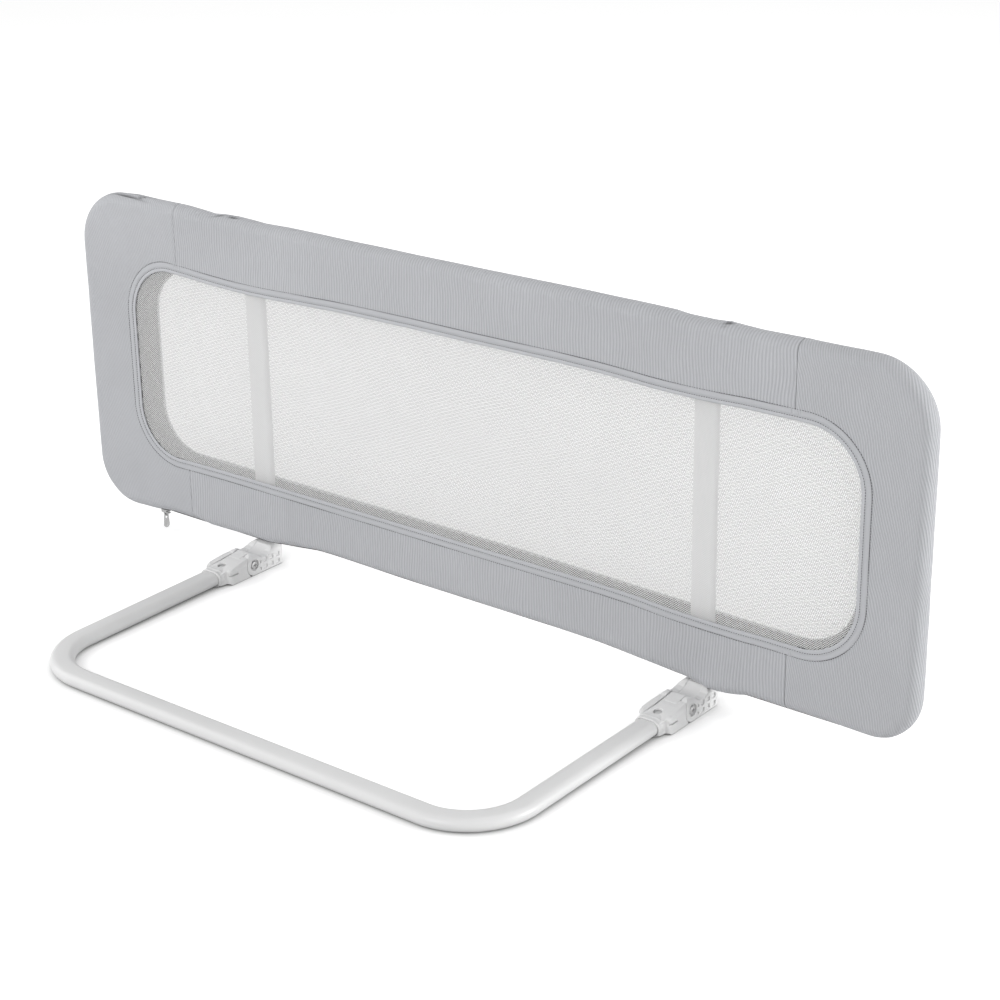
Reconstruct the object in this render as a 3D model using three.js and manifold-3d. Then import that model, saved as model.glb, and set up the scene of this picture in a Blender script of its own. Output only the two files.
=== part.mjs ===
// Folding bed guard rail: a fabric panel on a tube frame that folds on a base loop.
// Millimetres, +Z up. The panel faces -Y, over the base loop that lies under the mattress.
import * as THREE from 'three';
import { mergeVertices } from 'three/addons/utils/BufferGeometryUtils.js';
import Module from 'manifold-3d';

const wasm = await Module();
wasm.setup();

// Panel and cover. The panel's middle lies a little to one side of the hinges' middle.
const panelLength = 1200;
const panelHeight = 408;
const panelGround = 29;
const panelShift = -9;
const coverThickness = 25;
const coverWall = 1.4;
const upperCornerRadius = 70;
const lowerCornerRadius = 55;
const seamSetback = 162;
const seamOffset = panelLength / 2 - seamSetback;
const seamGap = 0.3;
const middleRise = 9;
const riseLength = 90;

// Window, its binding and its net
const endBorder = 83;
const bottomBorder = 78;
const topBorder = 83;
const windowHalfLength = panelLength / 2 - endBorder;
const windowLow = panelGround + bottomBorder;
const windowHigh = panelGround + panelHeight - topBorder;
const windowCornerRadius = 64;
const bindingWidth = 12;
const backEndInset = 17;
const backEdgeInset = 5;
const netThickness = 0.7;
const netMargin = 4;
const netEdge = 5;
const netColumns = 14;
const netRows = 5;
const strandWidth = 4.5;

// Frame tubes, posts and their joints
const frameTubeRadius = 10.5;
const frameTubeWall = 1.2;
const hingeSpacing = 646;
const postWidth = 30;
const postDepth = 10;
const postWall = 1.2;
const postBottom = 6;
const teeBodyLength = 46;
const spigotLength = 20;
const teeTongueLength = 28;
const footBodyLength = 26;
const footLugLength = 18;
const footSeatDepth = 5.5;
const frameScrewHeadRadius = 3.6;
const frameScrewHeadHeight = 2;
const frameScrewRadius = 1.75;
const frameScrewReach = 4;
const headPocketRadius = 4.4;
const teeScrewDrop = 12;

// Base loop
const baseReach = 391.5;
const baseTubeWidth = 28;
const baseTubeHeight = 16;
const baseTubeWall = 1.2;
const baseBendRadius = 74;
const armLift = 3;
const armEnd = 60.5;

// Hinge: fixed connector and folding bracket, sizes from the panel's middle plane
const pivotSetback = 42;
const pivotHeight = 13.5;
const hingeHalfWidth = 21;
const hingeTop = 27;
const shoulderHeight = 15;
const shoulderShare = 0.45;
const eyeLift = 0.3;
const forkInner = 10;
const slotWidth = 2.3;
const connectorRim = 98.5;
const connectorFlare = 92;
const connectorFull = 72;
const connectorFlareHalf = 12;
const connectorMidHalf = 17.5;
const collarWall = 1.2;
const collarOverlap = 34;
const rampTipTop = 17;
const buttonTopHeight = 21.3;
const shoulderFaceTop = 25;
const toeFront = 80;
const toeLift = 1;
const shoulderGap = 0.5;
const heelReach = 17.5;
const heelHeight = 4.7;
const rampClearance = 0.4;
const rampStartRise = 4;
const rampSag = 17.5;
const socketFront = 9;
const socketTop = 23;
const socketBackWall = 1.5;
const wallDipTop = 22.5;
const wallDipSetback = 22;
const heelCorner = 6;
const bracketCorner = 9;

// Lattice pockets in the bracket's sides
const pocketWidth = 6.5;
const pocketHeight = 5.6;
const pocketDepth = 4.5;
const pocketPitch = 10.8;
const firstPocketSetback = 1.8;
const pocketColumns = 3;
const pocketLow = 6;
const pocketRowPitch = 9;
const smallPocketWidth = 2.6;
const smallPocketHeight = 3.4;
const smallPocketSetback = 31.8;

// Pivot bolt, nut and washer
const boltRadius = 3;
const boltHeadRadius = 5.2;
const boltHeadHeight = 2.8;
const recessRadius = 7;
const recessDepth = 3;
const nutRadius = 5.4;
const nutThickness = 2.6;
const washerRadius = 5.6;

// Snap button and its spring
const buttonSetback = 78;
const buttonRadius = 4.2;
const buttonHoleRadius = 5;
const buttonTop = 20.7;
const buttonFlangeRadius = 6.2;
const buttonFlangeTop = 17.2;
const buttonFlangeHeight = 2;
const springWidth = 8;
const springThickness = 0.8;
const springBase = 4.3;
const springFront = 94.5;
const springBack = 63.5;
const springTipSetback = 72.5;
const springBend = 2.4;

// Zip
const zipSetback = 98;
const zipHalfLength = panelLength / 2 - zipSetback;
const zipLine = -5.3;
const zipWidth = 4.4;
const sliderLength = 14;
const sliderHeight = 4;
const sliderWidth = 5.6;
const bailHalfOpening = 2.2;
const bailBar = 1.5;
const bailDrop = 3;
const bailThickness = 2;
const pullerLength = 20;
const pullerWidth = 8.2;
const pullerNeckWidth = 6.4;
const pullerThickness = 1.6;
const pullerEyeWidth = 4;
const pullerEyeLength = 6.2;
const pullerBar = 0.8;

// Clearances
const gap = 0.3;
const slimGap = 0.2;
const overrun = 2;

// Facets
const cornerSteps = 3;
const eyeSteps = 6;
const bendSteps = 7;
const tubeSides = 12;
const ovalSteps = 3;
const roundSteps = 16;
const coverRingSteps = 8;
const riseSteps = 4;

// Worked out from the sizes above
const rimRadius = coverThickness / 2;
const cavityRadius = rimRadius - coverWall;
const rimHalf = panelLength / 2 - rimRadius;
const rimLow = panelGround + rimRadius;
const rimHigh = panelGround + panelHeight - rimRadius;
const upperBend = upperCornerRadius - rimRadius;
const lowerBend = lowerCornerRadius - rimRadius;
const panelMiddle = (rimLow + rimHigh) / 2;
const hingeX = hingeSpacing / 2;
const riseStart = hingeX - footLugLength - gap;
const netFront = cavityRadius - gap;
const postBack = netFront - netThickness - gap;
const postFront = postBack - postDepth;
const postLine = (postFront + postBack) / 2;
const bracketBack = postBack + gap + socketBackWall;
const postTop = rimHigh - frameTubeRadius - gap;
const spigotRadius = frameTubeRadius - frameTubeWall - gap;
const loopFront = baseReach - baseTubeWidth / 2;
const eyeRadius = pivotHeight - eyeLift;
const rampStartGap = eyeRadius + rampClearance;
const tubeRest = baseTubeHeight / 2;
const armRun = loopFront - baseBendRadius - armEnd;
const zipSlideTop = rimLow - Math.sqrt(rimRadius ** 2 - (zipLine + sliderWidth / 2) ** 2) - gap;
const pinHeight = zipSlideTop - sliderHeight - bailDrop / 2;
const depthShift = (baseReach - rimRadius) / 2;

const fabric = { color: 0xb4b6ba, roughness: 0.9, metalness: 0 };
const bindingFabric = { color: 0xa3a6ac, roughness: 0.85, metalness: 0 };
const netFabric = { color: 0xf2f3f3, roughness: 0.8, metalness: 0 };
const whitePaint = { color: 0xdddfdf, roughness: 0.4, metalness: 0.1 };
const whitePlastic = { color: 0xd6d8d9, roughness: 0.5, metalness: 0 };
const darkPlastic = { color: 0x55585c, roughness: 0.6, metalness: 0 };
const steel = { color: 0x8f9296, roughness: 0.35, metalness: 0.9 };
const zipTapeFabric = { color: 0xa9abb0, roughness: 0.9, metalness: 0 };

// Solids and booleans

function solid(geometry) {
  const bare = geometry.clone();
  bare.deleteAttribute('normal');
  bare.deleteAttribute('uv');
  const merged = mergeVertices(bare);
  const mesh = new wasm.Mesh({
    numProp: 3,
    vertProperties: new Float32Array(merged.attributes.position.array),
    triVerts: new Uint32Array(merged.index.array),
  });
  return new wasm.Manifold(mesh);
}

function geometryOf(body) {
  const mesh = body.getMesh();
  const geometry = new THREE.BufferGeometry();
  const position = new THREE.BufferAttribute(new Float32Array(mesh.vertProperties), 3);
  geometry.setAttribute('position', position);
  geometry.setIndex(new THREE.BufferAttribute(new Uint32Array(mesh.triVerts), 1));
  geometry.computeVertexNormals();
  return geometry;
}

function joined(bodies) {
  return bodies.reduce((whole, body) => whole.add(body));
}

function without(body, cutters) {
  return cutters.reduce((rest, cutter) => rest.subtract(cutter), body);
}

// A box between two corners
function box(low, high) {
  const size = high.map((value, i) => value - low[i]);
  const geometry = new THREE.BoxGeometry(...size);
  geometry.translate(...low.map((value, i) => (value + high[i]) / 2));
  return solid(geometry);
}

function extrusion(shape, depth, curveSegments) {
  return new THREE.ExtrudeGeometry(shape, { depth, curveSegments, bevelEnabled: false });
}

// A shape drawn in X and Z, filling y from low to high
function frontPrism(shape, low, high, curveSegments = cornerSteps) {
  const geometry = extrusion(shape, high - low, curveSegments);
  geometry.rotateX(Math.PI / 2);
  geometry.translate(0, high, 0);
  return solid(geometry);
}

// A shape drawn in Y and Z, filling x from low to high
function sidePrism(shape, low, high, curveSegments = cornerSteps) {
  const geometry = extrusion(shape, high - low, curveSegments);
  const turn = new THREE.Matrix4().makeBasis(
    new THREE.Vector3(0, 1, 0),
    new THREE.Vector3(0, 0, 1),
    new THREE.Vector3(1, 0, 0),
  );
  geometry.applyMatrix4(turn);
  geometry.translate(low, 0, 0);
  return solid(geometry);
}

// A shape drawn in X and Y, filling z from low to high
function topPrism(shape, low, high, curveSegments = cornerSteps) {
  const geometry = extrusion(shape, high - low, curveSegments);
  geometry.translate(0, 0, low);
  return solid(geometry);
}

function outline(points) {
  return new THREE.Shape(points.map(([a, b]) => new THREE.Vector2(a, b)));
}

function circle(radius, a = 0, b = 0) {
  const shape = new THREE.Shape();
  shape.absarc(a, b, radius, 0, 2 * Math.PI);
  return shape;
}

// A cylinder about a line along x, y or z
function rod(axis, radius, low, high, place, steps = roundSteps) {
  const geometry = new THREE.CylinderGeometry(radius, radius, high - low, steps);
  if (axis === 'x') {
    geometry.rotateZ(-Math.PI / 2);
    geometry.translate((low + high) / 2, place[0], place[1]);
  } else if (axis === 'y') {
    geometry.translate(place[0], (low + high) / 2, place[1]);
  } else {
    geometry.rotateX(Math.PI / 2);
    geometry.translate(place[0], place[1], (low + high) / 2);
  }
  return solid(geometry);
}

// A flat oval lying along the first axis of its plane
function flatOval(width, height, a = 0, b = 0) {
  const shape = new THREE.Shape();
  const radius = height / 2;
  const reach = width / 2 - radius;
  shape.absarc(a + reach, b, radius, -Math.PI / 2, Math.PI / 2);
  shape.absarc(a - reach, b, radius, Math.PI / 2, 3 * Math.PI / 2);
  shape.closePath();
  return shape;
}

function roundedRectangle(halfLength, low, high, radius) {
  const shape = new THREE.Shape();
  const reach = halfLength - radius;
  shape.absarc(reach, high - radius, radius, 0, Math.PI / 2);
  shape.absarc(-reach, high - radius, radius, Math.PI / 2, Math.PI);
  shape.absarc(-reach, low + radius, radius, Math.PI, 3 * Math.PI / 2);
  shape.absarc(reach, low + radius, radius, 3 * Math.PI / 2, 2 * Math.PI);
  shape.closePath();
  return shape;
}

// Tubes along a route

// A curve through chosen stations, each with its own direction. A section swept along it
// keeps its second axis towards the route's up.
class Route extends THREE.Curve {
  constructor(stations, up) {
    super();
    this.stations = stations;
    this.up = up;
  }

  stationAt(t) {
    return this.stations[Math.round(t * (this.stations.length - 1))];
  }

  getUtoTmapping(u) {
    return u;
  }

  getPoint(t) {
    return this.stationAt(t).point.clone();
  }

  getTangent(t) {
    return this.stationAt(t).direction.clone();
  }

  computeFrenetFrames() {
    const tangents = this.stations.map((station) => station.direction.clone());
    const normals = tangents.map((tangent) => this.up.clone().cross(tangent).normalize());
    const binormals = tangents.map((tangent, i) => tangent.clone().cross(normals[i]));
    return { tangents, normals, binormals };
  }
}

// Straight runs between the given corners, each bend with its own radius
function bentRoute(corners, radii, up) {
  const points = corners.map((corner) => new THREE.Vector3(...corner));
  const runs = points.slice(1).map((point, i) => point.clone().sub(points[i]).normalize());
  const stations = [{ point: points[0], direction: runs[0] }];
  for (let i = 1; i < points.length - 1; i += 1) {
    const radius = radii[i - 1];
    const ahead = runs[i - 1];
    const turned = runs[i];
    const angle = ahead.angleTo(turned);
    const inward = turned.clone().addScaledVector(ahead, -ahead.dot(turned)).normalize();
    const start = points[i].clone().addScaledVector(ahead, -radius * Math.tan(angle / 2));
    const centre = start.clone().addScaledVector(inward, radius);
    for (let k = 0; k <= bendSteps; k += 1) {
      const a = (angle * k) / bendSteps;
      const point = centre.clone().addScaledVector(inward, -radius * Math.cos(a));
      point.addScaledVector(ahead, radius * Math.sin(a));
      const direction = ahead.clone().multiplyScalar(Math.cos(a));
      direction.addScaledVector(inward, Math.sin(a));
      stations.push({ point, direction });
    }
  }
  stations.push({ point: points[points.length - 1], direction: runs[runs.length - 1] });
  return new Route(stations, up);
}

function sweep(shape, route, curveSegments) {
  const steps = route.stations.length - 1;
  return new THREE.ExtrudeGeometry(shape, { steps, curveSegments, extrudePath: route });
}

// A tube of the panel's frame, which lies in one upright plane
function roundTube(corners, radii) {
  const shape = circle(frameTubeRadius);
  shape.holes.push(circle(frameTubeRadius - frameTubeWall));
  const route = bentRoute(corners, radii, new THREE.Vector3(0, 1, 0));
  return sweep(shape, route, tubeSides / 2);
}

function layFlat(shape, corners, radii) {
  return solid(sweep(shape, bentRoute(corners, radii, new THREE.Vector3(0, 0, 1)), ovalSteps));
}

// Nodes

const root = new THREE.Group();
root.position.set(-panelShift, depthShift, 0);

function addNode(name, geometry, look) {
  const mesh = new THREE.Mesh(geometry, new THREE.MeshStandardMaterial(look));
  mesh.name = name;
  root.add(mesh);
  return mesh;
}

function addSolid(name, body, look) {
  return addNode(name, geometryOf(body), look);
}

// Base loop

function armCorner(side, setback) {
  const lift = (armLift * (loopFront - baseBendRadius - setback)) / armRun;
  return [side * hingeX, -setback, tubeRest + lift];
}

function baseLoop() {
  const corners = [
    armCorner(-1, armEnd),
    [-hingeX, -loopFront, tubeRest],
    [hingeX, -loopFront, tubeRest],
    armCorner(1, armEnd),
  ];
  const shape = flatOval(baseTubeWidth, baseTubeHeight);
  const inner = [baseTubeWidth - 2 * baseTubeWall, baseTubeHeight - 2 * baseTubeWall];
  shape.holes.push(flatOval(...inner));
  const tube = layFlat(shape, corners, [baseBendRadius, baseBendRadius]);
  const holes = [-1, 1].map((side) => rod(
    'z',
    buttonRadius + gap,
    buttonFlangeTop - buttonFlangeHeight,
    hingeTop,
    [side * hingeX, -buttonSetback],
  ));
  return without(tube, holes);
}

// A bar along one arm of the base loop, for the connector's collar and socket
function armBar(side, width, height, front, back) {
  const corners = [armCorner(side, front), armCorner(side, back)];
  return layFlat(flatOval(width, height), corners, []);
}

// Hinge

// The rounded shoulders that the connector and the bracket share, seen along the arm
function hingeSection() {
  const shape = new THREE.Shape();
  const flat = hingeHalfWidth * shoulderShare;
  shape.moveTo(-hingeHalfWidth, 0);
  shape.lineTo(hingeHalfWidth, 0);
  shape.lineTo(hingeHalfWidth, shoulderHeight);
  shape.quadraticCurveTo(hingeHalfWidth, hingeTop, flat, hingeTop);
  shape.lineTo(-flat, hingeTop);
  shape.quadraticCurveTo(-hingeHalfWidth, hingeTop, -hingeHalfWidth, shoulderHeight);
  shape.closePath();
  return shape;
}

function connectorBlock() {
  const back = pivotSetback + eyeRadius + shoulderGap;
  const profile = outline([
    [-connectorFlare, toeLift],
    [-toeFront, toeLift],
    [-toeFront + toeLift, 0],
    [-back, 0],
    [-back, shoulderFaceTop],
    [-buttonSetback, buttonTopHeight],
    [-connectorFlare, rampTipTop],
  ]);
  const plan = outline([
    [-connectorFlareHalf, -connectorFlare],
    [connectorFlareHalf, -connectorFlare],
    [connectorMidHalf, -(connectorFlare + connectorFull) / 2],
    [hingeHalfWidth, -connectorFull],
    [hingeHalfWidth, -back],
    [-hingeHalfWidth, -back],
    [-hingeHalfWidth, -connectorFull],
    [-connectorMidHalf, -(connectorFlare + connectorFull) / 2],
  ]);
  const side = sidePrism(profile, -hingeHalfWidth, hingeHalfWidth);
  const section = frontPrism(hingeSection(), -connectorFlare, -back);
  return side.intersect(topPrism(plan, 0, hingeTop)).intersect(section);
}

// The tongue that the pivot bolt goes through, with the heel that stops the panel upright
function connectorTongue() {
  const shape = new THREE.Shape();
  const front = pivotSetback + eyeRadius + shoulderGap + overrun;
  const heelTop = pivotHeight - eyeRadius + heelHeight;
  const heelAngle = Math.asin((heelTop - pivotHeight) / eyeRadius);
  shape.moveTo(-front, eyeLift);
  shape.lineTo(heelReach - pivotSetback, eyeLift);
  shape.lineTo(heelReach - pivotSetback, heelTop);
  shape.absarc(-pivotSetback, pivotHeight, eyeRadius, heelAngle, Math.PI / 2);
  shape.lineTo(-front, shoulderFaceTop);
  shape.closePath();
  return sidePrism(shape, slotWidth - forkInner, forkInner - gap, eyeSteps);
}

function tubeConnector(side) {
  const clear = 2 * gap;
  const socket = [baseTubeWidth + clear, baseTubeHeight + clear];
  const collar = socket.map((size) => size + 2 * collarWall);
  const place = side * hingeX;
  const collarBar = armBar(side, ...collar, connectorRim, connectorRim - collarOverlap);
  const block = connectorBlock().add(connectorTongue()).translate(place, 0, 0);
  const cutters = [
    armBar(side, ...socket, connectorRim + overrun, armEnd - gap),
    rod('z', buttonHoleRadius, pivotHeight, hingeTop, [place, -buttonSetback]),
    rod('x', boltRadius + gap, place - forkInner, place + forkInner, [-pivotSetback, pivotHeight]),
  ];
  return without(block.add(collarBar), cutters);
}

// One fork wall of the folding bracket, an eye with its arm
function forkProfile() {
  const shape = new THREE.Shape();
  shape.moveTo(-pivotSetback, 0);
  shape.lineTo(bracketBack - heelCorner, 0);
  shape.lineTo(bracketBack, heelCorner);
  shape.lineTo(bracketBack, hingeTop);
  shape.lineTo(-socketFront, hingeTop);
  shape.lineTo(-wallDipSetback, wallDipTop);
  shape.lineTo(-pivotSetback, pivotHeight + eyeRadius);
  shape.absarc(-pivotSetback, pivotHeight, eyeRadius, Math.PI / 2, 3 * Math.PI / 2);
  shape.closePath();
  return shape;
}

// The block between the fork walls: a round seat for the tongue, a ramp and the post's socket
function crossProfile() {
  const shape = new THREE.Shape();
  const heelTop = pivotHeight - eyeRadius + heelHeight + gap;
  const seatAngle = Math.asin((heelTop - pivotHeight) / rampStartGap);
  const heelFace = heelReach + gap - pivotSetback;
  shape.moveTo(heelFace, 0);
  shape.lineTo(bracketBack - heelCorner, 0);
  shape.lineTo(bracketBack, heelCorner);
  shape.lineTo(bracketBack, hingeTop);
  shape.lineTo(-socketFront, socketTop);
  const tip = rampStartGap - pivotSetback;
  shape.quadraticCurveTo((tip - socketFront) / 2, rampSag, tip, pivotHeight + rampStartRise);
  shape.lineTo(tip, pivotHeight);
  shape.absarc(-pivotSetback, pivotHeight, rampStartGap, 0, seatAngle, true);
  shape.lineTo(heelFace, heelTop);
  shape.closePath();
  return shape;
}

// The two rows of pockets on each side face, and the small pair beside the bolt
function latticePockets() {
  const pockets = [];
  for (const side of [-1, 1]) {
    const reach = [hingeHalfWidth - pocketDepth, hingeHalfWidth + overrun].map((u) => side * u);
    reach.sort((a, b) => a - b);
    for (const row of [0, 1]) {
      const level = pocketLow + row * pocketRowPitch;
      for (let column = 0; column < pocketColumns; column += 1) {
        const middle = -firstPocketSetback - column * pocketPitch;
        const half = [pocketWidth / 2, pocketHeight / 2];
        const low = [reach[0], middle - half[0], level - half[1]];
        pockets.push(box(low, [reach[1], middle + half[0], level + half[1]]));
      }
      const half = [smallPocketWidth / 2, smallPocketHeight / 2];
      const low = [reach[0], -smallPocketSetback - half[0], level - half[1]];
      pockets.push(box(low, [reach[1], half[0] - smallPocketSetback, level + half[1]]));
    }
  }
  return pockets;
}

// The bracket from above, with round corners behind the post
function bracketPlan(front) {
  const shape = new THREE.Shape();
  const reach = hingeHalfWidth - bracketCorner;
  const back = bracketBack - bracketCorner;
  shape.moveTo(-hingeHalfWidth, front);
  shape.lineTo(hingeHalfWidth, front);
  shape.absarc(reach, back, bracketCorner, 0, Math.PI / 2);
  shape.absarc(-reach, back, bracketCorner, Math.PI / 2, Math.PI);
  shape.closePath();
  return shape;
}

function hingeBracket(side) {
  const walls = [[-hingeHalfWidth, -forkInner], [forkInner, hingeHalfWidth]];
  const fork = walls.map(([low, high]) => sidePrism(forkProfile(), low, high, eyeSteps));
  const cross = sidePrism(crossProfile(), -forkInner, forkInner, eyeSteps);
  const front = -pivotSetback - eyeRadius;
  const section = frontPrism(hingeSection(), front, bracketBack);
  const rounding = topPrism(bracketPlan(front), 0, hingeTop);
  const axis = [-pivotSetback, pivotHeight];
  const edge = hingeHalfWidth - recessDepth;
  const cutters = [
    ...latticePockets(),
    topPrism(postOutline(gap), postBottom - gap, hingeTop),
    rod('x', boltRadius + gap, -hingeHalfWidth, hingeHalfWidth, axis),
    rod('x', recessRadius, edge, hingeHalfWidth + overrun, axis),
    rod('x', recessRadius, -hingeHalfWidth - overrun, -edge, axis),
  ];
  const bracket = joined([...fork, cross]).intersect(section).intersect(rounding);
  return without(bracket, cutters).translate(side * hingeX, 0, 0);
}

function pivotBolt(side) {
  const axis = [-pivotSetback, pivotHeight];
  const place = side * hingeX;
  const seat = place + hingeHalfWidth - recessDepth + slimGap;
  const head = rod('x', boltHeadRadius, seat, seat + boltHeadHeight, axis);
  const tip = place - hingeHalfWidth + slimGap;
  return head.add(rod('x', boltRadius, tip, seat + boltHeadHeight / 2, axis));
}

function ringAboutPivot(radius, low, high, steps) {
  const axis = [-pivotSetback, pivotHeight];
  const bore = rod('x', boltRadius + slimGap, low - overrun, high + overrun, axis);
  return rod('x', radius, low, high, axis, steps).subtract(bore);
}

function pivotNut(side) {
  const hexagon = 6;
  const seat = side * hingeX - hingeHalfWidth + recessDepth - slimGap;
  return ringAboutPivot(nutRadius, seat - nutThickness, seat, hexagon);
}

function pivotWasher(side) {
  const place = side * hingeX - forkInner;
  return ringAboutPivot(washerRadius, place + slimGap, place + slotWidth - slimGap, roundSteps);
}

function snapButton(side) {
  const place = [side * hingeX, -buttonSetback];
  const flangeLow = buttonFlangeTop - buttonFlangeHeight;
  const flange = rod('z', buttonFlangeRadius, flangeLow, buttonFlangeTop, place);
  return flange.add(rod('z', buttonRadius, flangeLow, buttonTop, place));
}

// A strip of spring steel folded over at the front, its upper leg under the button's flange
function snapSpring(side) {
  const top = buttonFlangeTop - buttonFlangeHeight - gap;
  const lower = springBase + springThickness;
  const shape = outline([
    [-springBack, springBase],
    [-springBack, lower],
    [-springFront + springBend, lower],
    [-springFront + springThickness, lower + springBend / 2],
    [-springFront + springBend, lower + springBend],
    [-springTipSetback, top - springThickness],
    [-springTipSetback, top],
    [-springFront + springBend, lower + springBend + springThickness],
    [-springFront, lower + springBend / 2],
    [-springFront + springBend, springBase],
  ]);
  const half = springWidth / 2;
  return sidePrism(shape, side * hingeX - half, side * hingeX + half);
}

// Frame inside the cover

function endTube(side) {
  const corners = [
    [side * (hingeX + teeBodyLength / 2 + gap), 0, rimHigh],
    [side * rimHalf + panelShift, 0, rimHigh],
    [side * rimHalf + panelShift, 0, rimLow],
    [side * (hingeX + footBodyLength + gap), 0, rimLow],
  ];
  return roundTube(corners, [upperBend, lowerBend]);
}

function topTube() {
  const end = hingeX - teeBodyLength / 2 - gap;
  return roundTube([[-end, 0, rimHigh], [end, 0, rimHigh]], []);
}

// The post's section, seen from above and moved out by an offset
function postOutline(offset, x = 0) {
  return flatOval(postWidth + 2 * offset, postDepth + 2 * offset, x, postLine);
}

function post(side) {
  const shape = postOutline(0, side * hingeX);
  shape.holes.push(postOutline(-postWall, side * hingeX));
  const tube = topPrism(shape, postBottom, postTop);
  const holes = [rimLow, postTop - teeScrewDrop].map((height) => rod(
    'y',
    frameScrewRadius + gap,
    postFront - overrun,
    postLine,
    [side * hingeX, height],
  ));
  return without(tube, holes);
}

// Joins the top tube, an end tube and the head of a post
function topConnector(side) {
  const place = side * hingeX;
  const axis = [0, rimHigh];
  const half = teeBodyLength / 2;
  const body = rod('x', frameTubeRadius, place - half, place + half, axis, tubeSides);
  const reach = half + spigotLength;
  const spigots = rod('x', spigotRadius, place - reach, place + reach, axis, tubeSides);
  const shape = postOutline(-postWall - gap, place);
  const tongue = topPrism(shape, postTop - teeTongueLength, rimHigh - frameTubeRadius / 2);
  const screwHeight = postTop - teeScrewDrop;
  const bore = rod(
    'y',
    frameScrewRadius + slimGap,
    postLine - postDepth,
    postLine + postDepth,
    [place, screwHeight],
  );
  return joined([body, spigots, tongue]).subtract(bore);
}

// Joins an end tube to the foot of a post, with a lug in front of the post for its screw
function footConnector(side) {
  const place = side * hingeX;
  const axis = [0, rimLow];
  const alongX = (radius, near, far) => {
    const ends = [place + side * near, place + side * far].sort((a, b) => a - b);
    return rod('x', radius, ...ends, axis, tubeSides);
  };
  const body = alongX(frameTubeRadius, -footLugLength, footBodyLength);
  const spigot = alongX(spigotRadius, footBodyLength - overrun, footBodyLength + spigotLength);
  const heights = [rimLow - coverThickness, rimLow + coverThickness];
  const channel = topPrism(postOutline(gap, place), ...heights);
  const back = box(
    [place - postWidth / 2 - gap, postLine, heights[0]],
    [place + postWidth / 2 + gap, coverThickness, heights[1]],
  );
  const seat = postFront - footSeatDepth;
  const screw = [place, rimLow];
  const cutters = [
    channel,
    back,
    rod('y', headPocketRadius, -coverThickness, seat, screw),
    rod('y', frameScrewRadius + gap, -coverThickness, postLine, screw),
  ];
  return without(body.add(spigot), cutters);
}

function frameScrew(x, seat, height) {
  const head = seat - slimGap;
  const cap = rod('y', frameScrewHeadRadius, head - frameScrewHeadHeight, head, [x, height]);
  const tip = postFront + frameScrewReach;
  const shank = rod('y', frameScrewRadius, head - frameScrewHeadHeight / 2, tip, [x, height]);
  return cap.add(shank);
}

// Holds the foot connector's lug to the front of the post
function footScrew(side) {
  return frameScrew(side * hingeX, postFront - footSeatDepth, rimLow);
}

// Holds the top connector's tongue in the head of the post
function headScrew(side) {
  return frameScrew(side * hingeX, postFront, postTop - teeScrewDrop);
}

// Cover, net and binding

// How far the cover's bottom edge is drawn up between the posts
function bottomRise(x) {
  const share = THREE.MathUtils.clamp((riseStart - Math.abs(x)) / riseLength, 0, 1);
  return (middleRise * (1 - Math.cos(Math.PI * share))) / 2;
}

// Points round the rim, counter-clockwise seen from the front, moved out by an offset
function rimOutline(offset) {
  const points = [];
  const corners = [
    [1, rimHigh - upperBend, upperBend],
    [-1, rimHigh - upperBend, upperBend],
    [-1, rimLow + lowerBend, lowerBend],
    [1, rimLow + lowerBend, lowerBend],
  ];
  corners.forEach(([end, z, bend], quarter) => {
    const x = panelShift + end * (rimHalf - bend);
    const radius = bend + offset;
    if (quarter === 3) {
      for (const side of [-1, 1]) {
        for (let k = 0; k <= riseSteps; k += 1) {
          const step = side < 0 ? k : riseSteps - k;
          const along = side * (riseStart - (riseLength * step) / riseSteps);
          points.push([along, rimLow - offset + bottomRise(along)]);
        }
      }
    }
    for (let k = 0; k <= bendSteps; k += 1) {
      const angle = (Math.PI / 2) * (quarter + k / bendSteps);
      points.push([x + radius * Math.cos(angle), z + radius * Math.sin(angle)]);
    }
  });
  return points;
}

// The cover's closed outer or inner skin: rings round the rim between two flat faces
function pillow(radius) {
  const vertices = [];
  const faces = [];
  for (let k = 0; k <= coverRingSteps; k += 1) {
    const angle = Math.PI * (k / coverRingSteps - 1 / 2);
    for (const [x, z] of rimOutline(radius * Math.cos(angle))) {
      vertices.push(x, radius * Math.sin(angle), z);
    }
  }
  const count = vertices.length / 3 / (coverRingSteps + 1);
  const front = vertices.length / 3;
  const back = front + 1;
  vertices.push(0, -radius, panelMiddle, 0, radius, panelMiddle);
  for (let i = 0; i < count; i += 1) {
    const next = (i + 1) % count;
    faces.push(front, i, next);
    const last = coverRingSteps * count;
    faces.push(back, last + next, last + i);
    for (let k = 0; k < coverRingSteps; k += 1) {
      const near = k * count;
      const far = near + count;
      faces.push(near + i, far + i, near + next, near + next, far + i, far + next);
    }
  }
  const geometry = new THREE.BufferGeometry();
  geometry.setAttribute('position', new THREE.Float32BufferAttribute(vertices, 3));
  geometry.setIndex(faces);
  return solid(geometry);
}

// The window's outline on one face, moved out by an offset
function windowOutline(face, offset) {
  const [endInset, edgeInset] = face > 0 ? [backEndInset, backEdgeInset] : [0, 0];
  return roundedRectangle(
    windowHalfLength - endInset + offset,
    windowLow + edgeInset - offset,
    windowHigh - edgeInset + offset,
    windowCornerRadius - edgeInset + offset,
  );
}

function facePrism(shape, face, near, far) {
  const ends = [face * near, face * far].sort((a, b) => a - b);
  return frontPrism(shape, ...ends);
}

function zipBand(slack) {
  const half = zipWidth / 2 + slack;
  return box(
    [-zipHalfLength - slack, zipLine - half, 0],
    [zipHalfLength + slack, zipLine + half, rimLow],
  );
}

function postSlot(side) {
  return topPrism(postOutline(gap, side * hingeX), 0, rimLow);
}

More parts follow.
